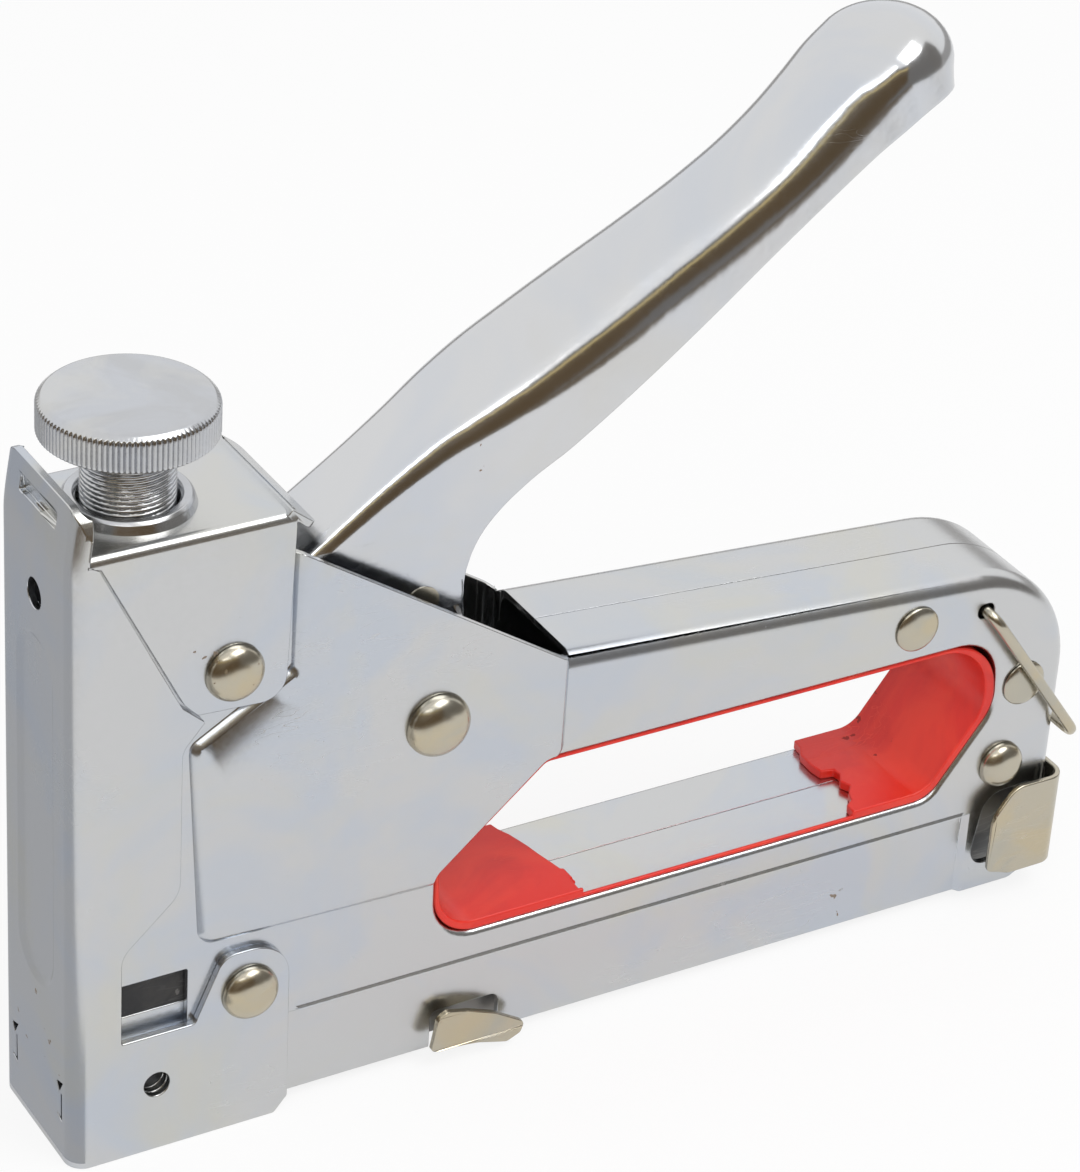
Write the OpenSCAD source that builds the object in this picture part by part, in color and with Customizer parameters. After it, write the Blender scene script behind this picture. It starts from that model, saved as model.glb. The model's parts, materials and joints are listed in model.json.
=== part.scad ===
// Hand staple gun of pressed sheet steel. All lengths are in millimetres.
// Profiles are drawn from the front face backwards (x) and up from the foot (z).
// y = 0 is the middle plane; the near side is -y.

/* [Body] */
// Length from the front face to the rear face
body_l = 176; // [170:1:184]
// Width over the front cover and the raised side panels
body_w = 25.2; // [24.4:0.2:27]
// Height of the top cap above the foot
cap_z = 104; // [101:1:108]
// Depth of the front cover at the foot
nose_l = 35.4; // [34:0.2:37]
// Thickness of the steel sheet
sheet = 1.2; // [1:0.05:1.4]
// Height of the magazine's lower edge above the foot
skirt_z = 1.8; // [1.4:0.1:2.4]
// How far the magazine skirt is pressed in below the crease
skirt_step = 1; // [0.6:0.1:1.4]
// Bend radius of the grip's outer edges
edge_r = 3; // [2:0.25:4]

/* [Grip opening] */
// Lower edge of the finger opening
grip_low_z = 22.4; // [21:0.2:24]
// Height of the finger opening
grip_h = 28; // [26:0.5:30]
// Front end of the finger opening
grip_front_x = 60.5; // [59:0.5:63]
// Wall left between the finger opening and the rear face
grip_rear_wall = 13.5; // [12:0.5:16]
// Thickness of the plastic liner
liner_t = 1.8; // [1.4:0.1:2.4]

/* [Handle] */
// Pivot, distance behind the front face
pivot_x = 58.3; // [57:0.1:60]
// Pivot height
pivot_z = 63.5; // [62:0.1:65]
// Diameter of the pivot pin
pivot_d = 8; // [6:0.5:9]
// Width of the handle at the neck
neck_w = 16.4; // [14:0.2:18]
// Width of the handle at the grip
handle_w = 21.4; // [19:0.2:23]
// Depth of the handle's channel
handle_depth = 10.8; // [9:0.2:13]
// Thickness of the handle's sheet
handle_sheet = 1.5; // [1.2:0.1:1.8]
// Reach of the lifting arm from the pivot to its nose
arm_l = 27; // [26:0.5:28]
// Angle of the lifting arm below level at rest
arm_drop = 20; // [17:1:22]
// Closing angle of the handle
handle_swing = 46; // [42:1:48]

/* [Adjusting knob] */
// Knob axis, distance behind the front face
knob_x = 14.2; // [13.8:0.1:15]
// How much wider than the body the knob's head is
knob_over = 0.4; // [-3:0.2:0.6]
// Height of the knob's head
knob_h = 6; // [4:0.25:7]
// Gap between the cap and the knob's head
knob_gap = 11.3; // [10.8:0.1:13]
// Diameter of the thread
thread_d = 13.6; // [12:0.2:14.4]
// Number of grooves in the knob's rim
knurl_count = 60; // [40:1:72]

/* [Drive] */
// Width of the driver blade
blade_w = 11; // [9.5:0.25:11.5]
// Thickness of the driver blade
blade_t = 1.2; // [0.9:0.1:1.3]
// Wire diameter of the main spring
spring_wire = 2; // [1.4:0.1:2.2]
// Outer diameter of the main spring
spring_d = 13; // [11:0.5:13.5]

/* [Magazine] */
// Width between the magazine's walls
crown_w = 12; // [11:0.2:12.6]
// Height between the magazine's lower edge and its roof
leg_room = 14.6; // [12:0.2:15]
// Diameter of the push rod
rod_d = 3; // [2:0.25:3.5]
// Length of the pusher
pusher_l = 20; // [16:1:26]

/* [Bail] */
// Hinge hole, distance before the rear face
bail_back = 17.9; // [16:0.1:20]
// Height of the hinge hole
bail_z = 56.4; // [55:0.1:58]
// Length of the bail's legs
bail_l = 34; // [33:0.5:35]
// Wire diameter of the bail
bail_wire = 2.4; // [2:0.1:2.8]

/* [Rivets] */
// Diameter of the small rivets' shanks
rivet_shank_d = 4; // [3:0.25:4.5]
// Height of a domed rivet head
rivet_h = 2.6; // [1.5:0.1:3]

/* [Hidden] */

steel = "silver";
nickel = "wheat";

// ---- levels across the width ----
half_w = body_w / 2;
shell_y = half_w - sheet;
skirt_y = shell_y - skirt_step;
shell_in_y = shell_y - sheet;
skirt_in_y = skirt_y - sheet;
panel_in_y = half_w - sheet;

// ---- clearances ----
seam_gap = 0.3;
slide_gap = 0.35;
run_gap = 0.05;

// ---- origin: middle of the overall length ----
bail_x = body_l - bail_back;
bail_clear = 0.4;
bail_bar_x = body_l + bail_clear + bail_wire / 2;
bail_rest = acos((bail_bar_x - bail_x) / bail_l);
overall_l = bail_bar_x + bail_wire / 2;
origin_x = overall_l / 2;

// Puts what is drawn from the front face into the part's frame
module from_front() {
    translate([-origin_x, 0, 0]) children();
}

// ---- outlines of [x, z, radius] corners, anticlockwise ----
function xz(p) = [p[0], p[1]];
function unit(v) = v / norm(v);
function left_of(v) = [-v[1], v[0]];
function cross2(a, b) = a[0] * b[1] - a[1] * b[0];
function wrap(i, n) = (i + n) % n;
function turned(v, a) = [v[0] * cos(a) - v[1] * sin(a), v[0] * sin(a) + v[1] * cos(a)];

// Corner i moved inwards by d: [point, radius, way in, way out, turning side]
function moved_corner(c, i, d) =
    let (n = len(c), p = xz(c[i]))
    let (a = unit(p - xz(c[wrap(i - 1, n)])), b = unit(xz(c[wrap(i + 1, n)]) - p))
    let (side = cross2(a, b) > 0 ? 1 : -1)
    [p + (left_of(a) + left_of(b)) * d / (1 + a * b), max(0.1, c[i][2] - side * d), a, b, side];

// Points of the arc that rounds a moved corner
function arc_points(m, steps) =
    let (phi = acos(m[2] * m[3]))
    let (start = m[0] - m[2] * m[1] * tan(phi / 2))
    let (centre = start + left_of(m[2]) * m[1] * m[4])
    [for (k = [0:steps]) centre + turned(start - centre, m[4] * phi * k / steps)];

// All points of an outline, moved inwards by d
function outline(c, d = 0, steps = 5) =
    [for (i = [0:len(c) - 1])
        let (m = moved_corner(c, i, d))
        each (c[i][2] == 0 ? [m[0]] : arc_points(m, steps))];

// Ring of an outline at one level of the near side
function ring(c, d, y) = [for (p = outline(c, d)) [p[0], -y, p[1]]];

// Closed solid through rings that have the same number of points. Its ends are fans from the
// first point, so an outline starts at a corner that sees all the others.
module skin(rings) {
    n = len(rings[0]);
    m = len(rings);
    sides = [for (k = [0:m - 2], i = [0:n - 1])
        let (a = k * n + i, b = k * n + wrap(i + 1, n))
        each [[a, b + n, b], [a, a + n, b + n]]];
    ends = [[for (i = [0:n - 1]) i], [for (i = [n:-1:1]) (m - 1) * n + wrap(i, n)]];
    polyhedron([for (r = rings) each r], concat(sides, ends), convexity = 8);
}

// Plate of an outline between two levels of the near side
module plate(c, y0, y1, d = 0) {
    translate([0, -y0, 0]) rotate([90, 0, 0]) linear_extrude(y1 - y0) polygon(outline(c, d));
}

// Prism of an outline right through the width
module through(c, d = 0) {
    plate(c, -body_w, body_w, d);
}

// Cylinder across the width, between two levels of y
module cross_pin(x, z, r, y0, y1) {
    translate([x, y0, z]) rotate([-90, 0, 0]) cylinder(h = y1 - y0, r = r, $fn = 48);
}

// Same thing on both sides
module both_sides() {
    children();
    mirror([0, 1, 0]) children();
}

// ---- side view of the body ----
bar_front_x = 81.5;
bar_front_z = 68.3;
bar_slope = 0.0715;
function bar_top(x) = bar_front_z - bar_slope * (x - bar_front_x);
slope_top_x = nose_l + 0.6;
slope_top_z = cap_z - 7;
shell_front_x = 3;
shell_top_z = cap_z - sheet - 0.4;
cap_rear_x = nose_l - 1.1;
cap_front_x = 2.4;

// Cut edges of a half: nose, foot, sloped top edge; it runs past the bends at the bar and the rear
cut_line = [[shell_front_x, skirt_z, 0], [body_l - 6, skirt_z, 2.5], [body_l + 6, skirt_z + 7, 0],
    [body_l + 6, bar_front_z + 9, 0], [bar_front_x, bar_front_z + 9, 0],
    [bar_front_x, bar_front_z - 0.9, 0], [slope_top_x, slope_top_z, 1.5],
    [cap_rear_x - 1, slope_top_z + 0.8, 0], [cap_rear_x - 2, shell_top_z, 0],
    [shell_front_x, shell_top_z, 0]];

// Bent edges of a half: rear end and top of the bar; it runs past the cut edges
bend_line = [[-9, -9, 0], [body_l, -9, 0], [body_l, bar_top(body_l), 21], [-9, bar_top(-9), 0]];
housing = [[-8, 20, 0], [bar_front_x - 1, 20, 0], [bar_front_x - 1, cap_z + 20, 0], [-8, cap_z + 20, 0]];

grip_top_z = grip_low_z + grip_h;
grip_rear_x = body_l - grip_rear_wall;
grip_edge_r = 0.9;
grip = [[grip_front_x, grip_low_z, 7], [grip_rear_x - 11, grip_low_z, 5],
    [grip_rear_x, grip_low_z + 15, 8], [grip_rear_x - 1, grip_top_z, 8],
    [grip_front_x + 17.6, grip_top_z, 2], [grip_front_x - 0.2, grip_low_z + 12.4, 2]];

panel = [[grip_front_x - 0.4, grip_low_z + 12.6, 1.5], [bar_front_x - 2.1, grip_top_z + 1.8, 1],
    [bar_front_x - 2.1, bar_front_z + 0.6, 0], [slope_top_x + 0.6, slope_top_z - 0.4, 1.2],
    [slope_top_x + 0.2, cap_z - 29, 2.5], [nose_l - 14.6, cap_z - 37.6, 2],
    [nose_l - 12.9, grip_low_z + 13.4, 1.5]];

crease_front_z = 17.6;
crease_rear_z = 12.5;
crease_rear_x = body_l - 16.8;
skirt = [[nose_l - 1, -5, 0], [crease_rear_x, -5, 0], [crease_rear_x, crease_rear_z, 0],
    [nose_l - 1, crease_front_z + 0.1, 0]];

// Near half of the body as a solid form, everything moved inwards by d
module half_form(d) {
    r = max(edge_r - d, 0.6);
    top = shell_y - d;
    difference() {
        union() {
            skin([ring(bend_line, d, -1 - d), ring(bend_line, d, top - r),
                for (a = [22.5:22.5:90]) ring(bend_line, d + r * (1 - cos(a)), top - r + r * sin(a))]);
            skin([ring(panel, d / 2 - 1.5, top - 1.2 - d / 2), ring(panel, d / 2 - 1.5, top),
                ring(panel, d / 2, half_w - d)]);
            plate(housing, -1.5 - d, top, d);
        }
        skin([ring(skirt, -d / 2, skirt_y - d), ring(skirt, -1.5 - d / 2, top + 0.1),
            ring(skirt, -1.5 - d / 2, half_w + 1 + d)]);
    }
}

// What is left open in the rim of a half: front, foot, top edge and the rear mouth.
// The cuts go a little into the wall, so that they leave no skin on it.
module open_rims() {
    lift = 6;
    skim = 0.02;
    plate([[-1, -1, 0], [nose_l, -1, 0], [nose_l, 5, 0], [shell_front_x + 3, 5, 0],
        [shell_front_x + 3, cap_z, 0], [-1, cap_z, 0]], -2, shell_in_y + skim);
    plate([[nose_l - 1, -1, 0], [body_l + 1, -1, 0], [body_l + 1, latch_top_z, 0],
        [body_l - 8, latch_top_z, 0], [body_l - 8, 5, 0], [nose_l - 1, 5, 0]], -2, skirt_in_y + skim);
    plate([[-1, shell_top_z - 3, 0], [cap_rear_x - 2, shell_top_z - 3, 0],
        [slope_top_x, slope_top_z - lift, 0], [bar_front_x, bar_front_z - lift, 0],
        [bar_front_x, cap_z + 3, 0], [-1, cap_z + 3, 0]], -2, shell_in_y + skim);
    plate([[slope_top_x + 2.6, slope_top_z - lift - 3, 0], [bar_front_x - 3.5, bar_front_z - lift, 0],
        [bar_front_x - 3.5, cap_z, 0], [slope_top_x + 2.6, cap_z, 0]], -2, panel_in_y + skim);
}

// ---- rivets: [x, z, head diameter, head height, side level] ----
cap_rivet = [cap_rear_x - 9.4, cap_z - 22.7, 9.6, rivet_h, half_w];
front_rivet = [nose_l - 6.8, grip_low_z + 2.3, 9, rivet_h, half_w];
rear_rivets_at = [[body_l - 32.1, grip_top_z + 7.2, 8, 1.2, shell_y],
    [body_l - 9.4, grip_top_z - 8.7, 8, 1, shell_y],
    [body_l - 11.9, grip_low_z + 4.6, 8, rivet_h, shell_y]];
shank_r = rivet_shank_d / 2;

// ---- small openings of the shell ----
tongue_z = 21;
window_x0 = 7;
window_x1 = nose_l - 16.4;
window_z1 = tongue_z + 9.5;
latch_top_z = 20.6;
latch_slot = [[body_l - 15, 6.5, 3], [body_l - 3, 6.5, 2], [body_l - 3, latch_top_z, 2],
    [body_l - 13, latch_top_z - 0.6, 4]];
clip_x0 = 61;
clip_x1 = 73;
clip_notch_z = 8.4;
side_hole_x = 13.7;
side_hole_z = 11.9;
side_hole_r = 2.1;

// The finger opening, flared where its edge is rounded at the outer face
module grip_cut() {
    r = grip_edge_r;
    skin([ring(grip, 0, -1), ring(grip, 0, shell_y - r),
        for (a = [22.5:22.5:90]) ring(grip, r * (cos(a) - 1), shell_y - r + r * sin(a)),
        ring(grip, -r, half_w + 1)]);
}

module half_shell() {
    difference() {
        intersection() {
            half_form(0);
            through(cut_line);
        }
        grip_cut();
        difference() {
            half_form(sheet);
            through(grip, -sheet);
        }
        open_rims();
        translate([-10, -0.05, -10]) cube([body_l + 20, body_w, cap_z + 30]);
        plate([[window_x0, 20, 0], [window_x1, 20, 0], [window_x1, window_z1, 0],
            [window_x0, window_z1, 0]], shell_in_y - 1, body_w);
        plate(latch_slot, skirt_in_y - 1, body_w);
        plate([[clip_x0, -1, 0], [clip_x1, -1, 0], [clip_x1, clip_notch_z, 1.5],
            [clip_x0, clip_notch_z, 1.5]], skirt_in_y - 1, body_w);
        cross_pin(side_hole_x, side_hole_z, side_hole_r, -body_w, 0);
        cross_pin(pivot_x, pivot_z, pivot_d / 2, -body_w, 0);
        cross_pin(bail_x, bail_z, bail_wire / 2 + run_gap, -body_w, 0);
        for (r = concat([cap_rivet, front_rivet], rear_rivets_at))
            cross_pin(r[0], r[1], shank_r, -body_w, 0);
    }
}

module body_shell_left() {
    color(steel) from_front() half_shell();
}

module body_shell_right() {
    color(steel) from_front() mirror([0, 1, 0]) half_shell();
}

// ---- front cover: a sheet wrapped round the nose ----
cover_bend = 3;
cover_hole_z = cap_z - 11;
tongue_x = 7.9;
waist_x = nose_l - 18.3;
arch_z = front_rivet[1] + 7;
cover_side = [[0, 0, 0], [nose_l - 2.2, 0, 0.5], [nose_l, 2.6, 0.5], [nose_l - 0.3, arch_z, 6.3],
    [nose_l - 11, arch_z, 3], [nose_l - 15.6, tongue_z, 1.2], [tongue_x, tongue_z, 0],
    [tongue_x, tongue_z + 15.6, 4], [waist_x, tongue_z + 24.2, 5], [waist_x, cap_z - 34.6, 3],
    [waist_x + 3.5, cap_z - 30.4, 0], [waist_x - 0.2, cap_z - 27.1, 1.5],
    [cap_front_x + 2 - seam_gap, cap_z - 1.6, 0], [0, cap_z - 1.6, 0]];
tab_top_z = cap_z + 7.2;
tab_slot = [12, 2.6];
tab_slot_z = tab_top_z - 4.9;
tab_lean = 9;

// Sheet bent to a U round the z axis, open to the rear: half width w, bend radius r
module wrap_sheet(l, h, w, r) {
    linear_extrude(h) difference() {
        u_form(l, w, r);
        translate([sheet, 0]) u_form(l, w - sheet, r - sheet);
    }
}

// Strip with both front corners rounded
module u_form(l, w, r) {
    translate([r, -w]) square([l - r, 2 * w]);
    translate([0, r - w]) square([l, 2 * (w - r)]);
    for (s = [-1, 1]) translate([r, s * (w - r)]) circle(r = r, $fn = 48);
}

// Plate that faces forwards, drawn in y and z, between two values of x
module facing(x0, x1) {
    translate([x0, 0, 0]) rotate([90, 0, 90]) linear_extrude(x1 - x0) children();
}

// Oblong with round ends, standing
module oblong(w, z0, z1) {
    translate([-w / 2, z0 + w / 2]) square([w, z1 - z0 - w]);
    for (z = [z0 + w / 2, z1 - w / 2]) translate([0, z]) circle(d = w, $fn = 32);
}

module front_cover() {
    color(steel) from_front() difference() {
        union() {
            intersection() {
                wrap_sheet(nose_l + 1, cap_z, half_w, cover_bend);
                through(cover_side);
            }
            translate([0, 0, cap_z - 2.2]) rotate([0, tab_lean, 0]) facing(0, sheet)
                polygon(outline([[-half_w + 1, 0, 0], [half_w - 1, 0, 0],
                    [half_w - 1, tab_top_z - cap_z + 2.4, 3], [1 - half_w, tab_top_z - cap_z + 2.4, 3]]));
        }
        facing(-1, 0.6) oblong(11.4, 27.5, 86);
        facing(-1, 6) translate([0, cover_hole_z]) circle(d = 4.7, $fn = 32);
        facing(-1, 6) translate([-tab_slot[0] / 2, tab_slot_z]) square(tab_slot);
        for (s = [-1, 1]) facing(-1, 2) translate([s * 8 - 1, 6]) square([2, 8.5]);
        cross_pin(side_hole_x, side_hole_z, side_hole_r, -body_w, body_w);
        cross_pin(front_rivet[0], front_rivet[1], shank_r, -body_w, body_w);
    }
}

// ---- top cap: a bracket folded over the top ----
cap_side = [[waist_x + 2.3, cap_z - 29, 1], [cap_rear_x - 1.1, cap_z - 29.7, 4], [cap_rear_x, cap_z + 1, 0],
    [cap_front_x, cap_z + 1, 0], [cap_front_x, cap_z - 1.2, 0], [cap_front_x + 2, cap_z - 1.6, 0],
    [waist_x + 0.1, cap_z - 26.7, 1.5]];
cap_bend = 1.5;

module top_cap() {
    color(steel) from_front() difference() {
        union() {
            intersection() {
                facing(cap_front_x, cap_rear_x) difference() {
                    folded_edge(half_w, cap_z, cap_bend);
                    folded_edge(half_w - sheet, cap_z - sheet, cap_bend - sheet);
                }
                through(cap_side);
            }
            rear_lip();
        }
        translate([knob_x, 0, cap_z - 10]) cylinder(h = 20, d = bush_body_d, $fn = 64);
        cross_pin(cap_rivet[0], cap_rivet[1], shank_r, -body_w, body_w);
    }
}

// Short tongue behind the cap, bent a little down over the handle's root
module rear_lip() {
    lip_w = 17;
    lip_l = 3.8;
    overlap = 1;
    translate([cap_rear_x - 0.1, 0, cap_z]) rotate([0, 18, 0]) translate([0, 0, -sheet])
        linear_extrude(sheet) polygon(outline([[-overlap, -lip_w / 2, 0], [lip_l, -lip_w / 2, 1.2],
            [lip_l, lip_w / 2, 1.2], [-overlap, lip_w / 2, 0]]));
}

// Upright block with both top edges rounded, drawn in y and z
module folded_edge(w, top, r) {
    translate([-w, 60]) square([2 * w, top - 60 - r]);
    translate([r - w, 60]) square([2 * (w - r), top - 60]);
    for (s = [-1, 1]) translate([s * (w - r), top - r]) circle(r = r, $fn = 32);
}

// ---- threaded bush and adjusting knob ----
bush_body_d = thread_d + 3;
bush_ring_d = thread_d + 5;
knob_d = body_w + knob_over;
knob_z = cap_z + knob_gap;
stem_low_z = cap_z - 14;
knob_travel = 8;
bush_low_z = stem_low_z + knob_travel + seam_gap;

module threaded_bush() {
    color(steel) from_front() translate([knob_x, 0, 0]) difference() {
        union() {
            translate([0, 0, bush_low_z]) cylinder(h = cap_z - bush_low_z, d = bush_body_d, $fn = 64);
            translate([0, 0, cap_z]) cylinder(h = 0.8, d = bush_ring_d, $fn = 64);
        }
        translate([0, 0, bush_low_z - 1]) cylinder(h = 20, r = thread_d / 2 + run_gap, $fn = 64);
    }
}

module adjusting_knob() {
    rim = 1;
    color(steel) from_front() translate([knob_x, 0, 0]) {
        translate([0, 0, stem_low_z]) cylinder(h = knob_z - stem_low_z + 1, d = thread_d, $fn = 64);
        difference() {
            translate([0, 0, knob_z]) rotate_extrude($fn = 96) polygon([[0, 0], [knob_d / 2 - rim, 0],
                [knob_d / 2, rim], [knob_d / 2, knob_h - rim], [knob_d / 2 - rim, knob_h], [0, knob_h]]);
            for (k = [1:knurl_count]) rotate([0, 0, k * 360 / knurl_count])
                translate([knob_d / 2 + 0.15, 0, knob_z - 1]) rotate([0, 0, 45])
                    cube([0.7, 0.7, 2 * knob_h + 2], center = true);
        }
    }
}

module spring_seat() {
    color(steel) from_front() translate([knob_x, 0, 0]) {
        translate([0, 0, stem_low_z - 2]) cylinder(h = 2, d = spring_d + 1, $fn = 48);
        translate([0, 0, stem_low_z - 6]) cylinder(h = 4, d = spring_d - 2 * spring_wire - 1, $fn = 48);
    }
}

// ---- springs ----
// Round wire along a helix from z0 to z1, with flat-wound ends
module coil(r, wire, turns, z0, z1, steps = 14, sides = 6) {
    n = turns * steps;
    skin([for (k = [0:n])
        let (a = 360 * k / steps, z = z0 + wire / 2 + (z1 - z0 - wire) * k / n)
        [for (j = [0:sides - 1])
            let (q = r + wire / 2 * cos(-360 * j / sides))
            [q * cos(a), q * sin(a), z + wire / 2 * sin(-360 * j / sides)]]]);
}

// ---- driver ----
blade_x = sheet + 0.25;
blade_low_z = 0.4;
carriage_x0 = blade_x + blade_t;
carriage_x1 = knob_x + spring_d / 2 + 2.2;
carriage_y = 9;
bumper_z0 = 24;
bumper_z1 = 33;
carriage_z0 = bumper_z1 + 0.1;
carriage_z1 = 56;
spring_floor_z = carriage_z0 + 6;
nose_r = 3;
nose_x = pivot_x - arm_l * cos(arm_drop);
nose_z = pivot_z - arm_l * sin(arm_drop);
driver_lift = arm_l * (sin(handle_swing - arm_drop) + sin(arm_drop));
hook_z = nose_z + nose_r + 0.35;

module driver_carriage() {
    color(steel) from_front() difference() {
        union() {
            translate([carriage_x0, -carriage_y, carriage_z0])
                cube([carriage_x1 - carriage_x0, 2 * carriage_y, carriage_z1 - carriage_z0]);
            for (s = [-1, 1]) translate([carriage_x1 - 3, s * 7 - 2, carriage_z0 + 8])
                cube([3, 4, hook_z + 5 - carriage_z0 - 8]);
            translate([carriage_x1 - 3, -carriage_y, hook_z]) cube([nose_x - carriage_x1 + 3, 2 * carriage_y, 5]);
        }
        translate([knob_x, 0, spring_floor_z]) cylinder(h = 60, d = spring_d + 0.8, $fn = 48);
    }
}

module driver_blade() {
    color(steel) from_front() translate([blade_x, -blade_w / 2, blade_low_z])
        cube([blade_t, blade_w, carriage_z1 - blade_low_z]);
}

module main_spring() {
    color(steel) from_front() translate([knob_x, 0, 0])
        coil((spring_d - spring_wire) / 2, spring_wire, 9, spring_floor_z, stem_low_z - 2);
}

module bumper_block() {
    color([0.08, 0.08, 0.09]) from_front() difference() {
        translate([blade_x + blade_t + 0.3, -shell_in_y + 0.1, bumper_z0])
            cube([window_x1 + 3 - blade_x - blade_t - 0.3, 2 * shell_in_y - 0.2, bumper_z1 - bumper_z0]);
    }
}

// ---- magazine ----
roof_z = skirt_z + leg_room;
channel_y = crown_w / 2;
rail_y = channel_y - 1.2;
rail_top_z = roof_z - 1.4;
rail_x0 = blade_x + blade_t + 1.6;
rail_x1 = body_l - 4;
rod_z = 8.5;

module nose_guide() {
    color(steel) from_front() difference() {
        translate([blade_x + blade_t + 0.15, -shell_in_y, 0])
            cube([nose_l - 8.4, 2 * shell_in_y, bumper_z0]);
        translate([rail_x0 - 0.01, -channel_y - sheet, -1]) cube([40, crown_w + 2 * sheet, roof_z + sheet + 1]);
        translate([0, -channel_y, -1]) cube([40, crown_w, roof_z + 1]);
        cross_pin(side_hole_x, side_hole_z, side_hole_r, -body_w, body_w);
        cross_pin(front_rivet[0], front_rivet[1], shank_r + 0.1, -body_w, body_w);
    }
}

module magazine_channel() {
    color(steel) from_front() difference() {
        translate([rail_x0, -channel_y - sheet, skirt_z])
            cube([rail_x1 - rail_x0, crown_w + 2 * sheet, roof_z + sheet - skirt_z]);
        translate([0, -channel_y, -1]) cube([body_l, crown_w, roof_z + 1]);
    }
}

module staple_rail() {
    slot_w = 3.4;
    color(steel) from_front() difference() {
        translate([rail_x0, -rail_y, skirt_z]) cube([rail_x1 - rail_x0, 2 * rail_y, rail_top_z - skirt_z]);
        translate([rail_x0 - 1, sheet - rail_y, -1])
            cube([body_l, 2 * (rail_y - sheet), rail_top_z + 1 - sheet]);
        translate([rail_x0 + 4, -slot_w / 2, 0]) cube([body_l, slot_w, 40]);
    }
}

// ---- pusher, push rod, spring and rear latch ----
pusher_x = rail_x0 + 4.5;
hub_l = 12;
latch_x = body_l + 0.5;

module pusher() {
    gap = 0.3;
    color(nickel) from_front() difference() {
        union() {
            difference() {
                translate([pusher_x, gap - channel_y, skirt_z + 2])
                    cube([pusher_l, crown_w - 2 * gap, roof_z - gap - skirt_z - 2]);
                translate([0, -rail_y - 0.25, -1]) cube([body_l, 2 * rail_y + 0.5, rail_top_z + 1.25]);
            }
            translate([pusher_x, -1.4, rod_z]) cube([hub_l, 2.8, rail_top_z + 0.8 - rod_z]);
            translate([pusher_x, -3.2, rod_z - 3.2]) cube([hub_l, 6.4, 6.4]);
        }
        translate([pusher_x - 1, 0, rod_z]) rotate([0, 90, 0])
            cylinder(h = pusher_l + 2, r = rod_d / 2 + run_gap, $fn = 32);
    }
}

module push_rod() {
    color(nickel) from_front() translate([rail_x0 + 1, 0, rod_z]) rotate([0, 90, 0])
        cylinder(h = latch_x - rail_x0 - 1, d = rod_d, $fn = 32);
}

module pusher_spring() {
    color(nickel) from_front() translate([0, 0, rod_z]) rotate([0, 90, 0])
        coil(rod_d / 2 + 0.6, 0.7, 28, pusher_x + hub_l, latch_x, 8, 4);
}

ear_y = shell_y + 2;
ear = [[latch_x - 14, 5.8, 3], [latch_x + sheet, 5.4, 2], [latch_x + sheet, 21.6, 1],
    [latch_x - 6.5, 21.6, 2], [latch_x - 14.4, 16.5, 5]];

module rear_latch() {
    latch_bend = 2.6;
    color(nickel) from_front() intersection() {
        translate([latch_x + sheet, 0, 0]) mirror([1, 0, 0])
            wrap_sheet(nose_l, cap_z / 2, ear_y + sheet, latch_bend);
        through(ear);
    }
}

module rail_clip() {
    ear_leaf = [[clip_x0 - 2, 3.4, 1], [clip_x1 + 1.4, 1.2, 1], [clip_x1 + 2.4, 4.6, 1],
        [clip_x0 + 6, 9.2, 3], [clip_x0 - 0.2, 9.2, 1.5]];
    color(nickel) from_front() {
        both_sides() plate(ear_leaf, ear_y, ear_y + 1);
        translate([clip_x0 + 1.5, -ear_y - 0.5, 0.5]) cube([clip_x1 - clip_x0 - 3, 2 * ear_y + 1, 1]);
        both_sides() plate([[clip_x0 + 1.5, 0.5, 0], [clip_x1 - 1.5, 0.5, 0],
            [clip_x1 - 1.5, 3.5, 0], [clip_x0 + 1.5, 3.5, 0]], ear_y, ear_y + 1);
    }
}

// ---- grip liner ----
module grip_liner() {
    end_front_x = 83;
    end_rear_x = 122;
    color([0.87, 0.2, 0.15]) from_front() difference() {
        plate(grip, 0.1 - shell_y, shell_y - 0.1);
        through(grip, liner_t);
        translate([end_front_x, -body_w, grip_low_z - 1]) cube([end_rear_x - end_front_x, 2 * body_w, liner_t + 2]);
    }
}

// ---- rivets ----
// Domed head that stands on the side at level y
module rivet_head(x, z, d, h, y) {
    dome_r = (d * d / 4 + h * h) / (2 * h);
    translate([x, -y, z]) rotate([90, 0, 0]) intersection() {
        translate([0, 0, h - dome_r]) sphere(r = dome_r, $fn = 64);
        cylinder(h = h, d = d, $fn = 48);
    }
}

module rivet_pair(r, inner) {
    both_sides() {
        rivet_head(r[0], r[1], r[2], r[3], r[4]);
        cross_pin(r[0], r[1], shank_r, -r[4], -inner);
    }
}

module cap_rivets() {
    color(nickel) from_front() rivet_pair(cap_rivet, shell_in_y);
}

module front_rivets() {
    color(nickel) from_front() rivet_pair(front_rivet, shell_in_y);
}

module rear_rivets() {
    color(nickel) from_front() for (r = rear_rivets_at) rivet_pair(r, 0);
}

module handle_pivot_pin() {
    color(nickel) from_front() {
        both_sides() rivet_head(pivot_x, pivot_z, 11, rivet_h + 0.4, half_w);
        cross_pin(pivot_x, pivot_z, pivot_d / 2, -half_w, half_w);
    }
}

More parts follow.
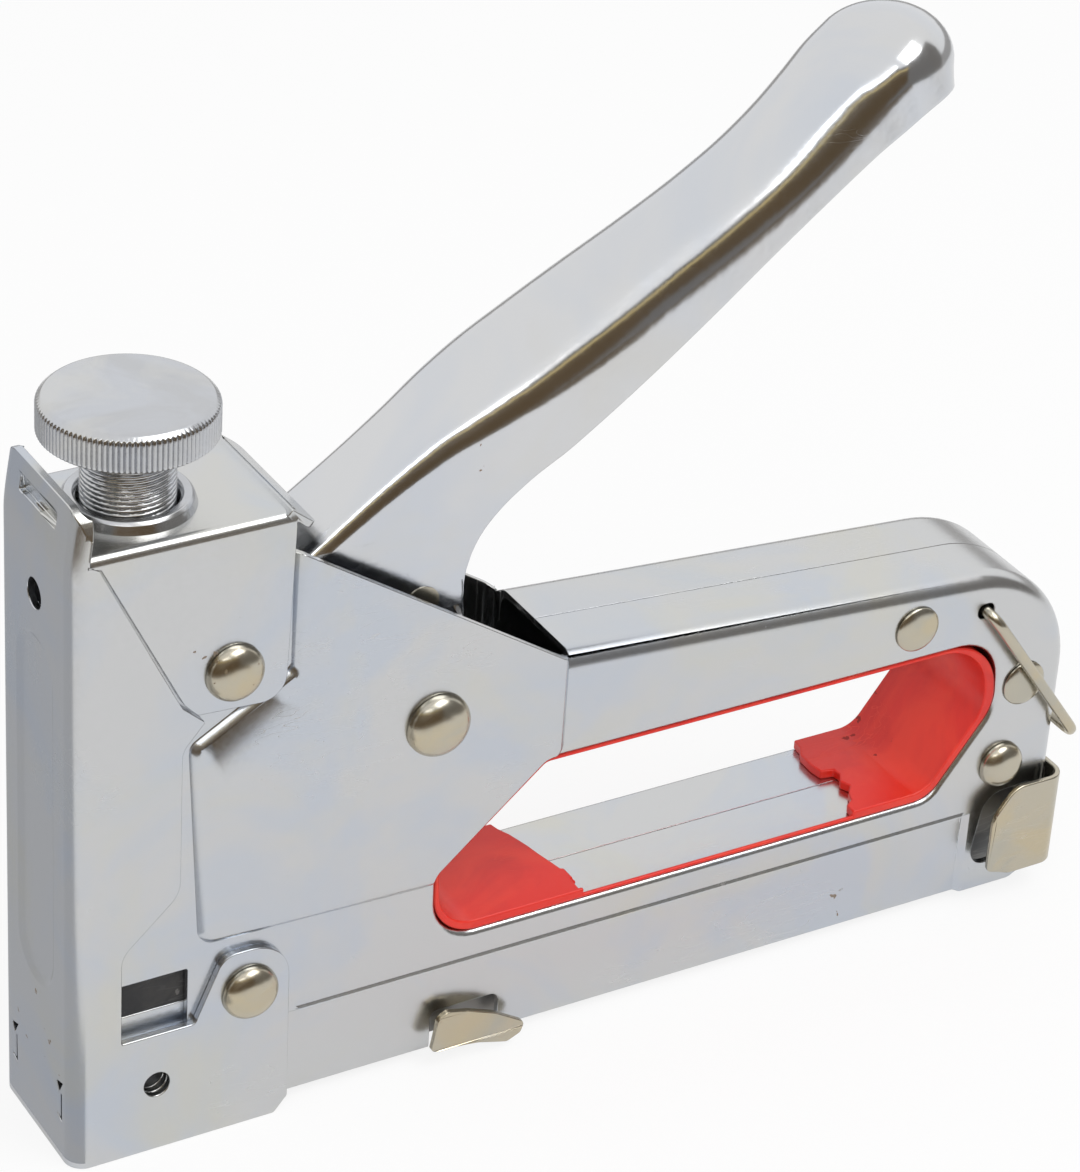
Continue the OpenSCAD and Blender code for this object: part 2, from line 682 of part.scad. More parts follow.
// ---- handle: stations [x, z, slope, width, channel depth, bend radius] along its top ----
handle_path = [[41, 95.4, 37, neck_w, 14, 2.2], [50, 101.9, 36, neck_w, 20, 2.5],
    [57, 106.9, 35, neck_w + 1, 20, 3], [63, 111, 34, (neck_w + handle_w) / 2, 17, 3.6],
    [69, 115, 33, handle_w, 14.5, 4.2], [76, 119.3, 31, handle_w, handle_depth + 1.6, 4.8],
    [85, 124.5, 30, handle_w, handle_depth + 0.5, 5.2], [95, 130.2, 30, handle_w, handle_depth, 5.5],
    [105, 136, 31, handle_w, handle_depth, 5.5], [114, 141.8, 35, handle_w, handle_depth, 5.3],
    [121, 147.6, 43, handle_w, handle_depth, 5], [126, 152.8, 43, handle_w, handle_depth, 5]];
// Round end, folded down about a centre: [angle, half width, channel depth]
tip_x = 136.6;
tip_z = 147.4;
tip_r = 11;
tip_fan = [[36, handle_w / 2, handle_depth - 0.1], [20, handle_w / 2, 9.4], [0, handle_w / 2 - 0.3, 8.4],
    [-20, handle_w / 2 - 0.9, 8], [-40, handle_w / 2 - 1.8, 7.6], [-60, handle_w / 2 - 2.9, 7.2],
    [-80, handle_w / 2 - 4, 6.6], [-98, handle_w / 2 - 4.8, 6]];

// Section of the handle: half width w, bend radius r, depth h, in a frame at [x, z] sloping by a
function handle_ring(x, z, a, w, h, r) =
    [for (p = concat([[w, -h]], [for (a = [0:15:90]) [w - r * (1 - cos(a)), r * (sin(a) - 1)]],
            [for (a = [90:-15:0]) [r * (1 - cos(a)) - w, r * (sin(a) - 1)]], [[-w, -h]]))
        [x - p[1] * sin(a), p[0], z + p[1] * cos(a)]];

// Outside of the handle, moved inwards by d and then open below and at the tip's lip
module handle_form(d) {
    inside = d > 0;
    reach = tip_r - d;
    skin([for (k = [0:len(handle_path) - 1])
            let (s = handle_path[k], back = k == 0 ? 3 * d : 0)
            handle_ring(s[0] + d * sin(s[2]) - back * cos(s[2]), s[1] - d * cos(s[2]) - back * sin(s[2]),
                s[2], s[3] / 2 - d, s[4] + (inside ? 4 : 0), s[5] - d),
        for (f = tip_fan)
            let (a = f[0] - (inside && f[0] < -90 ? 5 : 0))
            handle_ring(tip_x - reach * sin(a), tip_z + reach * cos(a), a, f[1] - d,
                inside ? reach - 0.2 : f[2], min(5 - d, f[1] * 0.8 - d))]);
}

plate_y = neck_w / 2;
boss_r = pivot_d / 2 + 5;
cheek = [[pivot_x - boss_r, pivot_z - boss_r, boss_r - 0.2], [pivot_x + boss_r, pivot_z - boss_r, boss_r - 0.2],
    [pivot_x + boss_r - 3.4, pivot_z + 11, 8], [pivot_x + 9, 93, 6], [60, 104, 0], [41, 93, 0]];

module lever_handle() {
    color(steel) from_front() difference() {
        union() {
            difference() {
                handle_form(0);
                handle_form(handle_sheet);
            }
            both_sides() plate(cheek, plate_y - handle_sheet, plate_y);
        }
        cross_pin(pivot_x, pivot_z, pivot_d / 2 + run_gap, -body_w, body_w);
        cross_pin(arm_rivet_x, arm_rivet_z, shank_r, -body_w, body_w);
    }
}

// ---- lifting arm ----
arm_y = plate_y - handle_sheet;
arm_rivet_x = pivot_x - 1;
arm_rivet_z = pivot_z + 18;

module lifting_arm() {
    color(steel) from_front() difference() {
        rotate([90, 0, 0]) linear_extrude(2 * arm_y, center = true) {
            translate([pivot_x, pivot_z]) circle(d = pivot_d + 9, $fn = 48);
            translate([nose_x, nose_z]) circle(r = nose_r, $fn = 32);
            hull() {
                translate([pivot_x - 4, pivot_z - 2]) circle(r = 5.5, $fn = 32);
                translate([nose_x, nose_z]) circle(r = nose_r - 0.1, $fn = 32);
            }
            hull() {
                translate([pivot_x, pivot_z]) circle(r = 6, $fn = 32);
                translate([arm_rivet_x, arm_rivet_z]) circle(r = 5, $fn = 32);
            }
        }
        cross_pin(pivot_x, pivot_z, pivot_d / 2 + run_gap, -body_w, body_w);
        cross_pin(arm_rivet_x, arm_rivet_z, shank_r, -body_w, body_w);
    }
}

module arm_rivet() {
    color(nickel) from_front() {
        cross_pin(arm_rivet_x, arm_rivet_z, shank_r, -plate_y - 1, plate_y + 1);
        both_sides() cross_pin(arm_rivet_x, arm_rivet_z, shank_r + 1.2, -plate_y - 1, -plate_y);
    }
}

// ---- handle return spring: wound round the pivot on the far side, one leg down to the opening ----
pivot_leg_z = grip_top_z + sheet + 0.3;

module handle_return_spring() {
    wire = 0.7;
    r = pivot_d / 2 + 3;
    h = panel_in_y - plate_y - 0.8;
    color(steel) from_front() translate([pivot_x, plate_y + 0.4, pivot_z]) {
        rotate([-90, 0, 0]) coil(r, wire, 2, 0, h);
        translate([r, wire / 2, 0]) cylinder(h = 9, d = wire, $fn = 16);
        translate([r, h - wire / 2, pivot_leg_z - pivot_z]) cylinder(h = pivot_z - pivot_leg_z, d = wire, $fn = 16);
    }
}

// ---- bail: a wire loop hung in the shells ----
bail_y = shell_y + 1.3 + bail_wire / 2;

module bail() {
    r = bail_wire / 2;
    bend = 3;
    color(nickel) from_front() translate([bail_x, 0, bail_z]) rotate([0, bail_rest, 0]) {
        both_sides() {
            cross_pin(0, 0, r, -bail_y + bend, -shell_in_y + 1);
            translate([bend, -bail_y + bend, 0]) rotate([0, 0, 180]) bend_quarter(bend, r);
            translate([bend, -bail_y, 0]) rotate([0, 90, 0]) cylinder(h = bail_l - 2 * bend, r = r, $fn = 24);
            translate([bail_l - bend, -bail_y + bend, 0]) rotate([0, 0, -90]) bend_quarter(bend, r);
        }
        translate([bail_l, bend - bail_y, 0]) rotate([-90, 0, 0])
            cylinder(h = 2 * (bail_y - bend), r = r, $fn = 24);
    }
}

// Quarter ring of wire in the first quadrant of the xy plane
module bend_quarter(bend, r) {
    rotate_extrude(angle = 90, $fn = 48) translate([bend, 0]) circle(r = r, $fn = 24);
}

body_shell_left();
body_shell_right();
front_cover();
top_cap();
threaded_bush();
cap_rivets();
front_rivets();
rear_rivets();
handle_pivot_pin();
grip_liner();
bumper_block();
nose_guide();
magazine_channel();
staple_rail();
rail_clip();
lever_handle();
lifting_arm();
arm_rivet();
handle_return_spring();
driver_carriage();
driver_blade();
main_spring();
spring_seat();
adjusting_knob();
rear_latch();
push_rod();
pusher();
pusher_spring();
bail();
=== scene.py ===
import json
import math

import bmesh
import bpy
import numpy as np
from mathutils import Matrix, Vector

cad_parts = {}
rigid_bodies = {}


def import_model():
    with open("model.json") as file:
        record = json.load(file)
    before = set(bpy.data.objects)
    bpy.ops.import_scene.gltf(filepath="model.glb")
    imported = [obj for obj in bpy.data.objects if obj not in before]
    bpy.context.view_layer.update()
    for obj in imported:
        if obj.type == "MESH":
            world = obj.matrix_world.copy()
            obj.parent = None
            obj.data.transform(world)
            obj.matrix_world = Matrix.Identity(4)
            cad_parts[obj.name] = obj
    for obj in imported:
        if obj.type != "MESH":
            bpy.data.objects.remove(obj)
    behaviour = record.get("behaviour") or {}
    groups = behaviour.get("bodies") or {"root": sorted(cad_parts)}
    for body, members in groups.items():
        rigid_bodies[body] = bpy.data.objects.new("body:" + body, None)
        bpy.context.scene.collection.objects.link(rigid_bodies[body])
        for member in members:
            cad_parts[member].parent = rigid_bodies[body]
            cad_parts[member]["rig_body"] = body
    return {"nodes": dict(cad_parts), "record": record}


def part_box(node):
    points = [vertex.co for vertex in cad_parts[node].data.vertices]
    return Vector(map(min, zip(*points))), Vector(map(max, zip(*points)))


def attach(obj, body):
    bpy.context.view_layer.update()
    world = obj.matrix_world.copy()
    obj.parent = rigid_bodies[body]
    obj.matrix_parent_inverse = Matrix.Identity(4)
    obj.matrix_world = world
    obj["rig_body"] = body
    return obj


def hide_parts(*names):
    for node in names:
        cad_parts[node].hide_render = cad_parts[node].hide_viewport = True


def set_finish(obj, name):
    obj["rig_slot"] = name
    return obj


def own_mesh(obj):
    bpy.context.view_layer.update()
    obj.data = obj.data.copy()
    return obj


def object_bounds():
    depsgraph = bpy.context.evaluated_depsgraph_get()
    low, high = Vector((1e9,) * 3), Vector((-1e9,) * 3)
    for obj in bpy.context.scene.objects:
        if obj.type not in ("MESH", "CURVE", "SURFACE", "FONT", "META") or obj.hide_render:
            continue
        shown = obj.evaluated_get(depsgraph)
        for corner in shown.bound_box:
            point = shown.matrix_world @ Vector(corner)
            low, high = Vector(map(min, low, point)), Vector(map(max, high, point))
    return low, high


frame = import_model()
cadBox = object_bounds()
print("frame loaded:", len(frame["nodes"]), "nodes")

# shapes are drawn in millimetres: x behind the nose's front face, y across, near side negative, z up
mm = 0.001
noseShift = -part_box("front_cover")[0].x / mm
slotOf = {s["node"]: s["material_slot"] for s in frame["record"]["subparts"]}
bodyOf = {name: node["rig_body"] for name, node in frame["nodes"].items()}
finished = []


# curves and outlines
def hermite(knots, values, at):
    # smooth values between knots: cubic pieces whose slopes are those of the chords on both sides
    knots, values, at = (np.asarray(a, float) for a in (knots, values, at))
    slope = np.gradient(values, knots, axis=0)
    i = np.clip(np.searchsorted(knots, at, side="right") - 1, 0, len(knots) - 2)
    h = (knots[i + 1] - knots[i])[:, None]
    s = ((at - knots[i]) / h[:, 0])[:, None]
    return ((2 * s**3 - 3 * s**2 + 1) * values[i] + (s**3 - 2 * s**2 + s) * h * slope[i]
            + (3 * s**2 - 2 * s**3) * values[i + 1] + (s**3 - s**2) * h * slope[i + 1])


def softStep(t):
    # an S from 0 to 1 that is level at both ends: 3t^2 - 2t^3
    return t * t * (3 - 2 * t)


def outline(corners, inset=0.0, steps=8):
    # corners [x, z, radius], anticlockwise, moved inwards by inset; each rounded corner is the arc
    # tangent to both sides, its centre r / cos(half the turn) from the moved corner
    c = np.asarray(corners, float)
    before, after = c[:, :2] - np.roll(c, 1, 0)[:, :2], np.roll(c, -1, 0)[:, :2] - c[:, :2]
    a = before / np.linalg.norm(before, axis=1)[:, None]
    b = after / np.linalg.norm(after, axis=1)[:, None]
    leftA, leftB = np.stack([-a[:, 1], a[:, 0]], 1), np.stack([-b[:, 1], b[:, 0]], 1)
    dot = np.sum(a * b, 1)
    side = np.where(a[:, 0] * b[:, 1] - a[:, 1] * b[:, 0] > 0, 1.0, -1.0)
    tip = c[:, :2] + (leftA + leftB) * (inset / (1 + dot))[:, None]
    r = np.maximum(0.1, c[:, 2] - side * inset)
    turn = np.arccos(np.clip(dot, -1, 1))
    start = tip - a * (r * np.tan(turn / 2))[:, None]
    centre = start + leftA * (r * side)[:, None]
    phi = (side * turn)[:, None] * np.linspace(0, 1, steps + 1)
    rel = (start - centre)[:, None, :]
    arcs = centre[:, None, :] + np.stack([rel[..., 0] * np.cos(phi) - rel[..., 1] * np.sin(phi),
                                          rel[..., 0] * np.sin(phi) + rel[..., 1] * np.cos(phi)], -1)
    return np.concatenate([tip[i:i + 1] if c[i, 2] == 0 else arcs[i] for i in range(len(c))])


def rectangle(x0, z0, x1, z1):
    # the sharp corners of a rectangle, anticlockwise
    return [[x0, z0, 0], [x1, z0, 0], [x1, z1, 0], [x0, z1, 0]]


def circlePoints(x, z, r, count=48):
    # points of a circle, anticlockwise
    a = np.arange(count) * 2 * np.pi / count
    return np.stack([x + r * np.cos(a), z + r * np.sin(a)], 1)


def arcPoints(cx, cy, r, a0, a1, count=9):
    # points of an arc from angle a0 to a1, in degrees
    a = np.radians(np.linspace(a0, a1, count))
    return np.stack([cx + r * np.cos(a), cy + r * np.sin(a)], 1)


# meshes
def gridQuads(rows, cols, closed=True):
    # quads between neighbouring rows of a grid of points; the columns close into a ring if closed
    a = np.arange(rows - 1)[:, None] * cols
    j = np.arange(cols if closed else cols - 1)[None, :]
    k = (j + 1) % cols
    return np.stack([a + j, a + k, a + cols + k, a + cols + j], -1).reshape(-1, 4)


def loftRings(rings):
    # closed skin through rings of equal count, each end one flat face
    n, m = len(rings[0]), len(rings)
    ends = [list(range(n))[::-1], list(range((m - 1) * n, m * n))]
    return np.concatenate(rings), gridQuads(m, n).tolist() + ends


def sideRing(points, level):
    # outline points (x, z) stood at a level of the near side
    return np.column_stack([points[:, 0], np.full(len(points), -level), points[:, 1]])


def frontRing(points, x):
    # outline points (y, z) stood at a distance behind the front
    return np.column_stack([np.full(len(points), x), points])


def topRing(points, z):
    # outline points (x, y) laid at a height
    return np.column_stack([points, np.full(len(points), z)])


def newObject(name, data):
    thing = bpy.data.objects.new(name, data)
    bpy.context.scene.collection.objects.link(thing)
    return thing


def meshObject(name, verts, faces):
    mesh = bpy.data.meshes.new(name)
    mesh.from_pydata(np.asarray(verts, float).tolist(), [], [list(f) for f in faces])
    return newObject(name, mesh)


def form(verts, faces):
    # a working solid, still in millimetres
    return meshObject("form", verts, faces)


def lofted(rings):
    return form(*loftRings(rings))


def sidePrism(points, low=-20.0, high=20.0):
    return lofted([sideRing(points, low), sideRing(points, high)])


def frontPrism(points, x0, x1):
    return lofted([frontRing(points, x0), frontRing(points, x1)])


def topPrism(points, z0, z1):
    return lofted([topRing(points, z0), topRing(points, z1)])


def combine(how, base, *others):
    # exact union, difference or intersection of working solids, which are used up
    for other in others:
        step = base.modifiers.new("step", "BOOLEAN")
        step.operation = how
        step.solver = "EXACT"
        step.object = other
    view = base.evaluated_get(bpy.context.evaluated_depsgraph_get())
    result = newObject("form", bpy.data.meshes.new_from_object(view))
    for used in (base, *others):
        bpy.data.objects.remove(used)
    return result


def moved(solid, change):
    # every vertex goes where change puts it, all at once
    mesh = solid.data
    v = np.empty(len(mesh.vertices) * 3)
    mesh.vertices.foreach_get("co", v)
    mesh.vertices.foreach_set("co", np.ascontiguousarray(change(v.reshape(-1, 3))).ravel())
    mesh.update()
    return solid


def pushed(solid, axis, amount):
    # every vertex shifted along one axis by an amount that may depend on its place
    def change(v):
        v[:, axis] += amount(v)
        return v
    return moved(solid, change)


def sliced(solid, heights):
    # extra edges where level planes cross the solid, so that a bend after them stays smooth
    work = bmesh.new()
    work.from_mesh(solid.data)
    for height in heights:
        bmesh.ops.bisect_plane(work, geom=work.verts[:] + work.edges[:] + work.faces[:], dist=1e-5,
                               plane_co=(0, 0, height), plane_no=(0, 0, 1))
    work.to_mesh(solid.data)
    work.free()
    return solid


def mirrored(solid):
    # the same solid on the other side, its faces turned outwards again
    mesh = solid.data.copy()
    mesh.transform(Matrix.Scale(-1, 4, (0, 1, 0)))
    mesh.flip_normals()
    return newObject("form", mesh)


def mergeDoubles(mesh, dist, flatten=False):
    # points closer than dist become one; flatten also joins faces that lie in one plane
    work = bmesh.new()
    work.from_mesh(mesh)
    bmesh.ops.remove_doubles(work, verts=work.verts, dist=dist)
    if flatten:
        bmesh.ops.dissolve_limit(work, angle_limit=math.radians(0.8), verts=work.verts, edges=work.edges,
                                 delimit={"NORMAL"})
    work.to_mesh(mesh)
    work.free()


def roundEdges(piece, width, angle, segments=2):
    # a small bevel on the sharp edges, then normals that keep the flats flat
    bevel = piece.modifiers.new("edges", "BEVEL")
    bevel.width = width * mm
    bevel.segments = segments
    bevel.limit_method = "ANGLE"
    bevel.angle_limit = math.radians(angle)
    bevel.use_clamp_overlap = False
    flats = piece.modifiers.new("flats", "WEIGHTED_NORMAL")
    flats.keep_sharp = True


def handOver(piece, nodes, edge, angle):
    # smooth shading that breaks at the angle, rounded edges, then the body, nodes and slot of the piece
    mesh = piece.data
    mesh.polygons.foreach_set("use_smooth", np.ones(len(mesh.polygons), bool))
    mesh.set_sharp_from_angle(angle=math.radians(angle))
    if edge:
        roundEdges(piece, edge, angle)
    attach(piece, bodyOf[nodes[0]])
    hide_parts(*nodes)
    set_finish(piece, slotOf[nodes[0]])
    finished.append(piece)
    return piece


def place(solid, name, nodes, edge=0.12, angle=35):
    # a finished piece: doubles merged, brought into metres and to the frame's origin
    mergeDoubles(solid.data, 0.002)
    solid.data.transform(Matrix.Diagonal((mm, mm, mm, 1)) @ Matrix.Translation((-noseShift, 0, 0)))
    solid.name = solid.data.name = name
    return handOver(solid, nodes, edge, angle)


def refined(node, edge=0.15, angle=35):
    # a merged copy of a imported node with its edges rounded
    mesh = frame["nodes"][node].data.copy()
    mergeDoubles(mesh, 2e-6, flatten=True)
    mesh.materials.clear()
    return handOver(newObject(node + "_fine", mesh), [node], edge, angle)


# half shells
body = {
    "length": 176.0, "halfWidth": 12.6, "sideLevel": 11.4, "skirtLevel": 10.4, "sheet": 1.2,
    "edgeRadius": 3.0, "noseLength": 35.4, "capTop": 104.0, "gripEdge": 1.1,
    "barFront": (81.5, 68.3), "barSlope": 0.0715, "slopeTop": (36.0, 97.0), "latchTop": 20.6,
    "grip": [[60.5, 22.4, 7], [151.5, 22.4, 5], [162.5, 37.4, 8], [161.5, 50.4, 8], [78.1, 50.4, 2],
             [60.3, 34.8, 2]],
    "panel": [[60.1, 35.0, 1.5], [79.4, 52.2, 1.2], [79.4, 68.9, 0], [36.6, 96.6, 1.2], [35.6, 77.3, 1.5],
              [19.9, 68.0, 2.4], [22.5, 35.8, 2]],
    "panelFoot": [[60.2, 33.2, 2.5], [81.0, 51.8, 2.2], [81.0, 72.0, 0], [34.4, 102.0, 0.8], [34.4, 78.6, 1.5],
                  [18.4, 69.2, 2.4], [20.4, 34.2, 3]],
    # the scoop's upper front end and its two directions, along the panel's edge and inwards from it; taper is
    # how far its starts and ends draw in at the bottom: inner start, edge start, inner end, edge end
    "scoop": {"start": (19.5, 68.4), "along": (0.862, 0.507), "inward": (0.507, -0.862), "length": 18,
              "reach": 10, "depth": 1.9, "taper": (3.5, 2, 6, 4)},
    "skirtEnds": (34.4, 159.2), "skirtTop": 16.3, "crease": 1.1,
    "bead": {"foot": (37, 17.0, 158.8, 17.9), "crest": (37.5, 17.1, 158.3, 17.45), "height": 0.35},
    "groove": {"floor": (16.1, 16.35), "mouth": (15.1, 16.4), "depth": 0.25},
    # round holes and their radius: [x, z, radius]
    "holes": [[13.7, 11.9, 2.1], [58.3, 63.5, 4], [24.9, 81.3, 2], [28.6, 24.7, 2], [143.9, 57.6, 2],
              [166.6, 41.7, 2], [164.1, 27, 2]],
    "bailHole": [[156.6, 55.1, 1.2], [159.7, 55.1, 1.2], [159.7, 57.8, 1.2], [156.6, 57.8, 1.2]],
    "bumperWindow": [[7, 20, 0], [19, 20, 0], [19, 30.5, 0.4], [7, 30.5, 0.4]],
    "latchWindow": [[161, 6.5, 3], [173, 6.5, 2], [173, 20.6, 2], [163, 20.0, 4]],
    "clipNotch": [[61, -1, 0], [73, -1, 0], [73, 8.4, 1.5], [61, 8.4, 1.5]],
}
backLevel = body["sideLevel"] - body["sheet"]


def barTop(x):
    return body["barFront"][1] - body["barSlope"] * (x - body["barFront"][0])


def halfForm(d):
    # near half as a solid, everything moved inwards by d: an outline carried outwards and rolled over
    # a quarter circle at the edge; the side panel raised by k(2 - k), steep at its foot; the skirt pressed
    # in by an S; a bead over the skirt, a scoop in the panel and a groove along the skirt's top
    r = max(body["edgeRadius"] - d, 0.6)
    top = body["sideLevel"] - d
    fine = 10 if d == 0 else 4
    bendLine = [[-9, -9, 0], [body["length"], -9, 0], [body["length"], barTop(body["length"]), 21],
                [-9, barTop(-9), 0]]
    a = np.linspace(0, np.pi / 2, fine)
    insets = np.concatenate([[d], d + r * (1 - np.cos(a))])
    levels = np.concatenate([[-1 - d], top - r + r * np.sin(a)])
    half = lofted([sideRing(outline(bendLine, i, 20), y) for i, y in zip(insets, levels)])
    foot, crest = outline(body["panelFoot"], d / 2), outline(body["panel"], d / 2)
    t = np.linspace(0, 1, fine)
    rise = body["halfWidth"] - body["sideLevel"]
    panel = lofted([sideRing(foot, top - 1)]
                   + [sideRing(foot + (crest - foot) * k, top + rise * k * (2 - k)) for k in t])
    housing = sidePrism(outline(rectangle(-8, 20, body["barFront"][0] - 1, 124), d), -1.5 - d, top)
    x0, x1 = body["skirtEnds"]
    skirt = rectangle(x0, -5, x1, body["skirtTop"])
    step = body["sideLevel"] - body["skirtLevel"] + 0.02
    level = body["skirtLevel"] - d
    pressed = lofted([sideRing(outline(skirt, -d / 2 - body["crease"] * k), level + step * softStep(k)) for k in t]
                     + [sideRing(outline(skirt, -d / 2 - body["crease"]), 20)])
    half = combine("UNION", half, housing)
    half = combine("UNION", half, panel)
    if d == 0:
        bead = body["bead"]
        foot, crest = outline(rectangle(*bead["foot"])), outline(rectangle(*bead["crest"]))
        half = combine("UNION", half, lofted([sideRing(foot, top - 1), sideRing(foot, top),
                                              sideRing(crest, top + bead["height"])]))
    half = combine("DIFFERENCE", half, pressed)
    half = combine("DIFFERENCE", half, scoopForm(d, fine + 2))
    groove = body["groove"]
    floor, mouth = (outline(rectangle(x0, z0, x1, z1)) for z0, z1 in (groove["floor"], groove["mouth"]))
    return combine("DIFFERENCE", half, lofted([sideRing(floor, level - groove["depth"]),
                                               sideRing(mouth, level + 0.02), sideRing(mouth, 20)]))


def scoopForm(d, steps):
    # the scoop's solid: depth (1 - k)^2, so it is steep at its straight front edge and fades out inwards
    scoop = body["scoop"]
    start, along, inward = (np.array(scoop[key]) for key in ("start", "along", "inward"))
    length, reach = scoop["length"], scoop["reach"]
    innerStart, edgeStart, innerEnd, edgeEnd = scoop["taper"]
    rings = []
    for k in np.linspace(0.02, 1, steps):
        u = 1 - k
        corners = np.array([(innerStart * u, reach * k), (length - innerEnd * u, reach * k),
                            (length - edgeEnd * u, 0), (edgeStart * u, 0)])
        rings.append(sideRing(start + corners[:, :1] * along + corners[:, 1:] * inward,
                              body["halfWidth"] - d + 0.02 - scoop["depth"] * u ** 2))
    return lofted(rings + [rings[-1] * [1, 0, 1] - [0, 20, 0]])


def makeShell():
    # the sheet between the outer and the inner form, trimmed to its cut line, with its openings
    fx, fz = body["barFront"]
    sx, sz = body["slopeTop"]
    top = body["capTop"] - 1.6
    cutLine = [[3, 1.8, 0], [170, 1.8, 2.5], [182, 8.8, 0], [182, fz + 9, 0], [fx, fz + 9, 0], [fx, fz - 0.9, 0],
               [sx, sz, 1.5], [33.3, sz + 0.8, 0], [32.3, top, 0], [3, top, 0]]
    shell = combine("INTERSECT", halfForm(0), sidePrism(outline(cutLine)))
    r = body["gripEdge"]
    a = np.linspace(0, np.pi / 2, 7)
    side = body["sideLevel"]
    grip = lofted([sideRing(outline(body["grip"]), -1)]
                  + [sideRing(outline(body["grip"], r * (np.cos(k) - 1)), side - r + r * np.sin(k)) for k in a]
                  + [sideRing(outline(body["grip"], -r), 14)])
    inside = combine("DIFFERENCE", halfForm(body["sheet"]), sidePrism(outline(body["grip"], -body["sheet"])))
    # the rims left open at the nose, the foot and the handle: [cut outline, level it reaches to]
    skim = 0.02
    skirtBack = body["skirtLevel"] - body["sheet"] + skim
    nose, lt = body["noseLength"], body["latchTop"]
    openings = [
        ([[-1, -1, 0], [nose, -1, 0], [nose, 5, 0], [6, 5, 0], [6, 104, 0], [-1, 104, 0]], backLevel + skim),
        ([[nose - 1, -1, 0], [177, -1, 0], [177, lt, 0], [168, lt, 0], [168, 5, 0], [nose - 1, 5, 0]], skirtBack),
        ([[-1, top - 3, 0], [32.3, top - 3, 0], [sx, sz - 6, 0], [fx, fz - 6, 0], [fx, 107, 0], [-1, 107, 0]],
         backLevel + skim),
        ([[sx + 2.6, sz - 9, 0], [fx - 3.5, fz - 6, 0], [fx - 3.5, 104, 0], [sx + 2.6, 104, 0]],
         body["halfWidth"] - body["sheet"] + skim)]
    rims = [sidePrism(outline(corners), -2, level) for corners, level in openings]
    middle = sidePrism(outline(rectangle(-20, -20, 200, 140)), -30, 0.05)
    windows = [sidePrism(outline(body[key]), low, 20) for key, low in
               (("bumperWindow", backLevel - 1), ("latchWindow", skirtBack - 1), ("clipNotch", skirtBack - 1))]
    holes = [sidePrism(circlePoints(*hole), 0, 20) for hole in body["holes"]]
    holes.append(sidePrism(outline(body["bailHole"]), 0, 20))
    return combine("DIFFERENCE", shell, grip, inside, *rims, middle, *windows, *holes)


nearShell = makeShell()
farShell = mirrored(nearShell)
place(nearShell, "shellNear", ["body_shell_left"])
place(farShell, "shellFar", ["body_shell_right"])
print("half shells made")

# front cover: a sheet bent to a U round the nose, with a tab that leans back over the cap
cover = {
    "bend": 3.0, "tabTop": 111.2, "tabWidth": 22.4, "lean": 0.165, "leanFrom": 101, "leanEase": 2.5,
    # the long recess, and how far outside its outline the slope starts and how wide it is
    "recess": [[-5.7, 27.5, 5.6], [5.7, 27.5, 5.6], [5.7, 86, 5.6], [-5.7, 86, 5.6]], "recessDepth": 0.55,
    "recessEdge": (-0.8, 1.8), "hole": (0, 93.0, 2.35), "pinHole": (13.7, 11.9, 2.1),
    # the tab's slot and the V tongue under it: [y, z, radius]
    "slot": [[-6, 106.3, 0.4], [6, 106.3, 0.4], [6, 108.9, 0.6], [-6, 108.9, 0.6]], "slotTaper": 0.27,
    "notch": [[-6.6, 104.2, 0.3], [-6.4, 106.4, 0], [5.0, 106.4, 0], [5.0, 105.6, 0], [-0.3, 102.5, 0.3]],
    "tongueBent": [[-6.3, 104.8, 0], [-1.0, 103.1, 0.3], [-1.0, 106.4, 0], [-6.3, 106.4, 0]],
    "tongueFlat": [[-1.05, 103.0, 0], [-0.4, 102.9, 0], [4.6, 105.8, 0], [4.6, 106.4, 0], [-1.05, 106.4, 0]],
    "tongueBend": 0.16, "tongueCrease": -1.0,
    # three small cuts round each of two places at the foot: [y from the place, z, radius]
    "lances": [[[-1.2, 14.2, 0], [0, 12, 0], [1.0, 13.6, 0]],
               [[-0.9, 7.2, 0.2], [-0.4, 7, 0.2], [-0.4, 12, 0], [-0.9, 12, 0]],
               [[-0.9, 6.9, 0], [0.7, 7.6, 0], [0.7, 8, 0], [-0.9, 7.4, 0]]],
    "lancePlaces": (-8, 8),
    "flank": [[-1, 0, 0], [33.2, 0, 0.5], [35.4, 2.6, 0.5], [35.1, 31.7, 6.3], [24.4, 31.7, 3],
              [19.8, 21, 1.2], [7.9, 21, 0.3], [7.9, 36.6, 4], [17.1, 45.2, 5], [17.1, 69.4, 3],
              [20.6, 73.6, 0.4], [16.9, 76.9, 1.5], [4.1, 102.4, 0.4], [2.7, 103.2, 0.6], [2.7, 118, 0],
              [-1, 118, 0]],
}


def bentSheet(length, width, bend, t, z0, z1, steps=12):
    # a sheet bent to a U round the z axis: the outer outline with its quarter bends, and back inside
    def path(w, r, x0):
        a = np.linspace(0, np.pi / 2, steps + 1)
        left = np.stack([x0 + r - r * np.sin(a), w - r + r * np.cos(a)], 1)
        return np.concatenate([[[length, w]], left, left[::-1] * [1, -1], [[length, -w]]])
    return topPrism(np.concatenate([path(width, bend, 0), path(width - t, bend - t, t)[::-1]]), z0, z1)


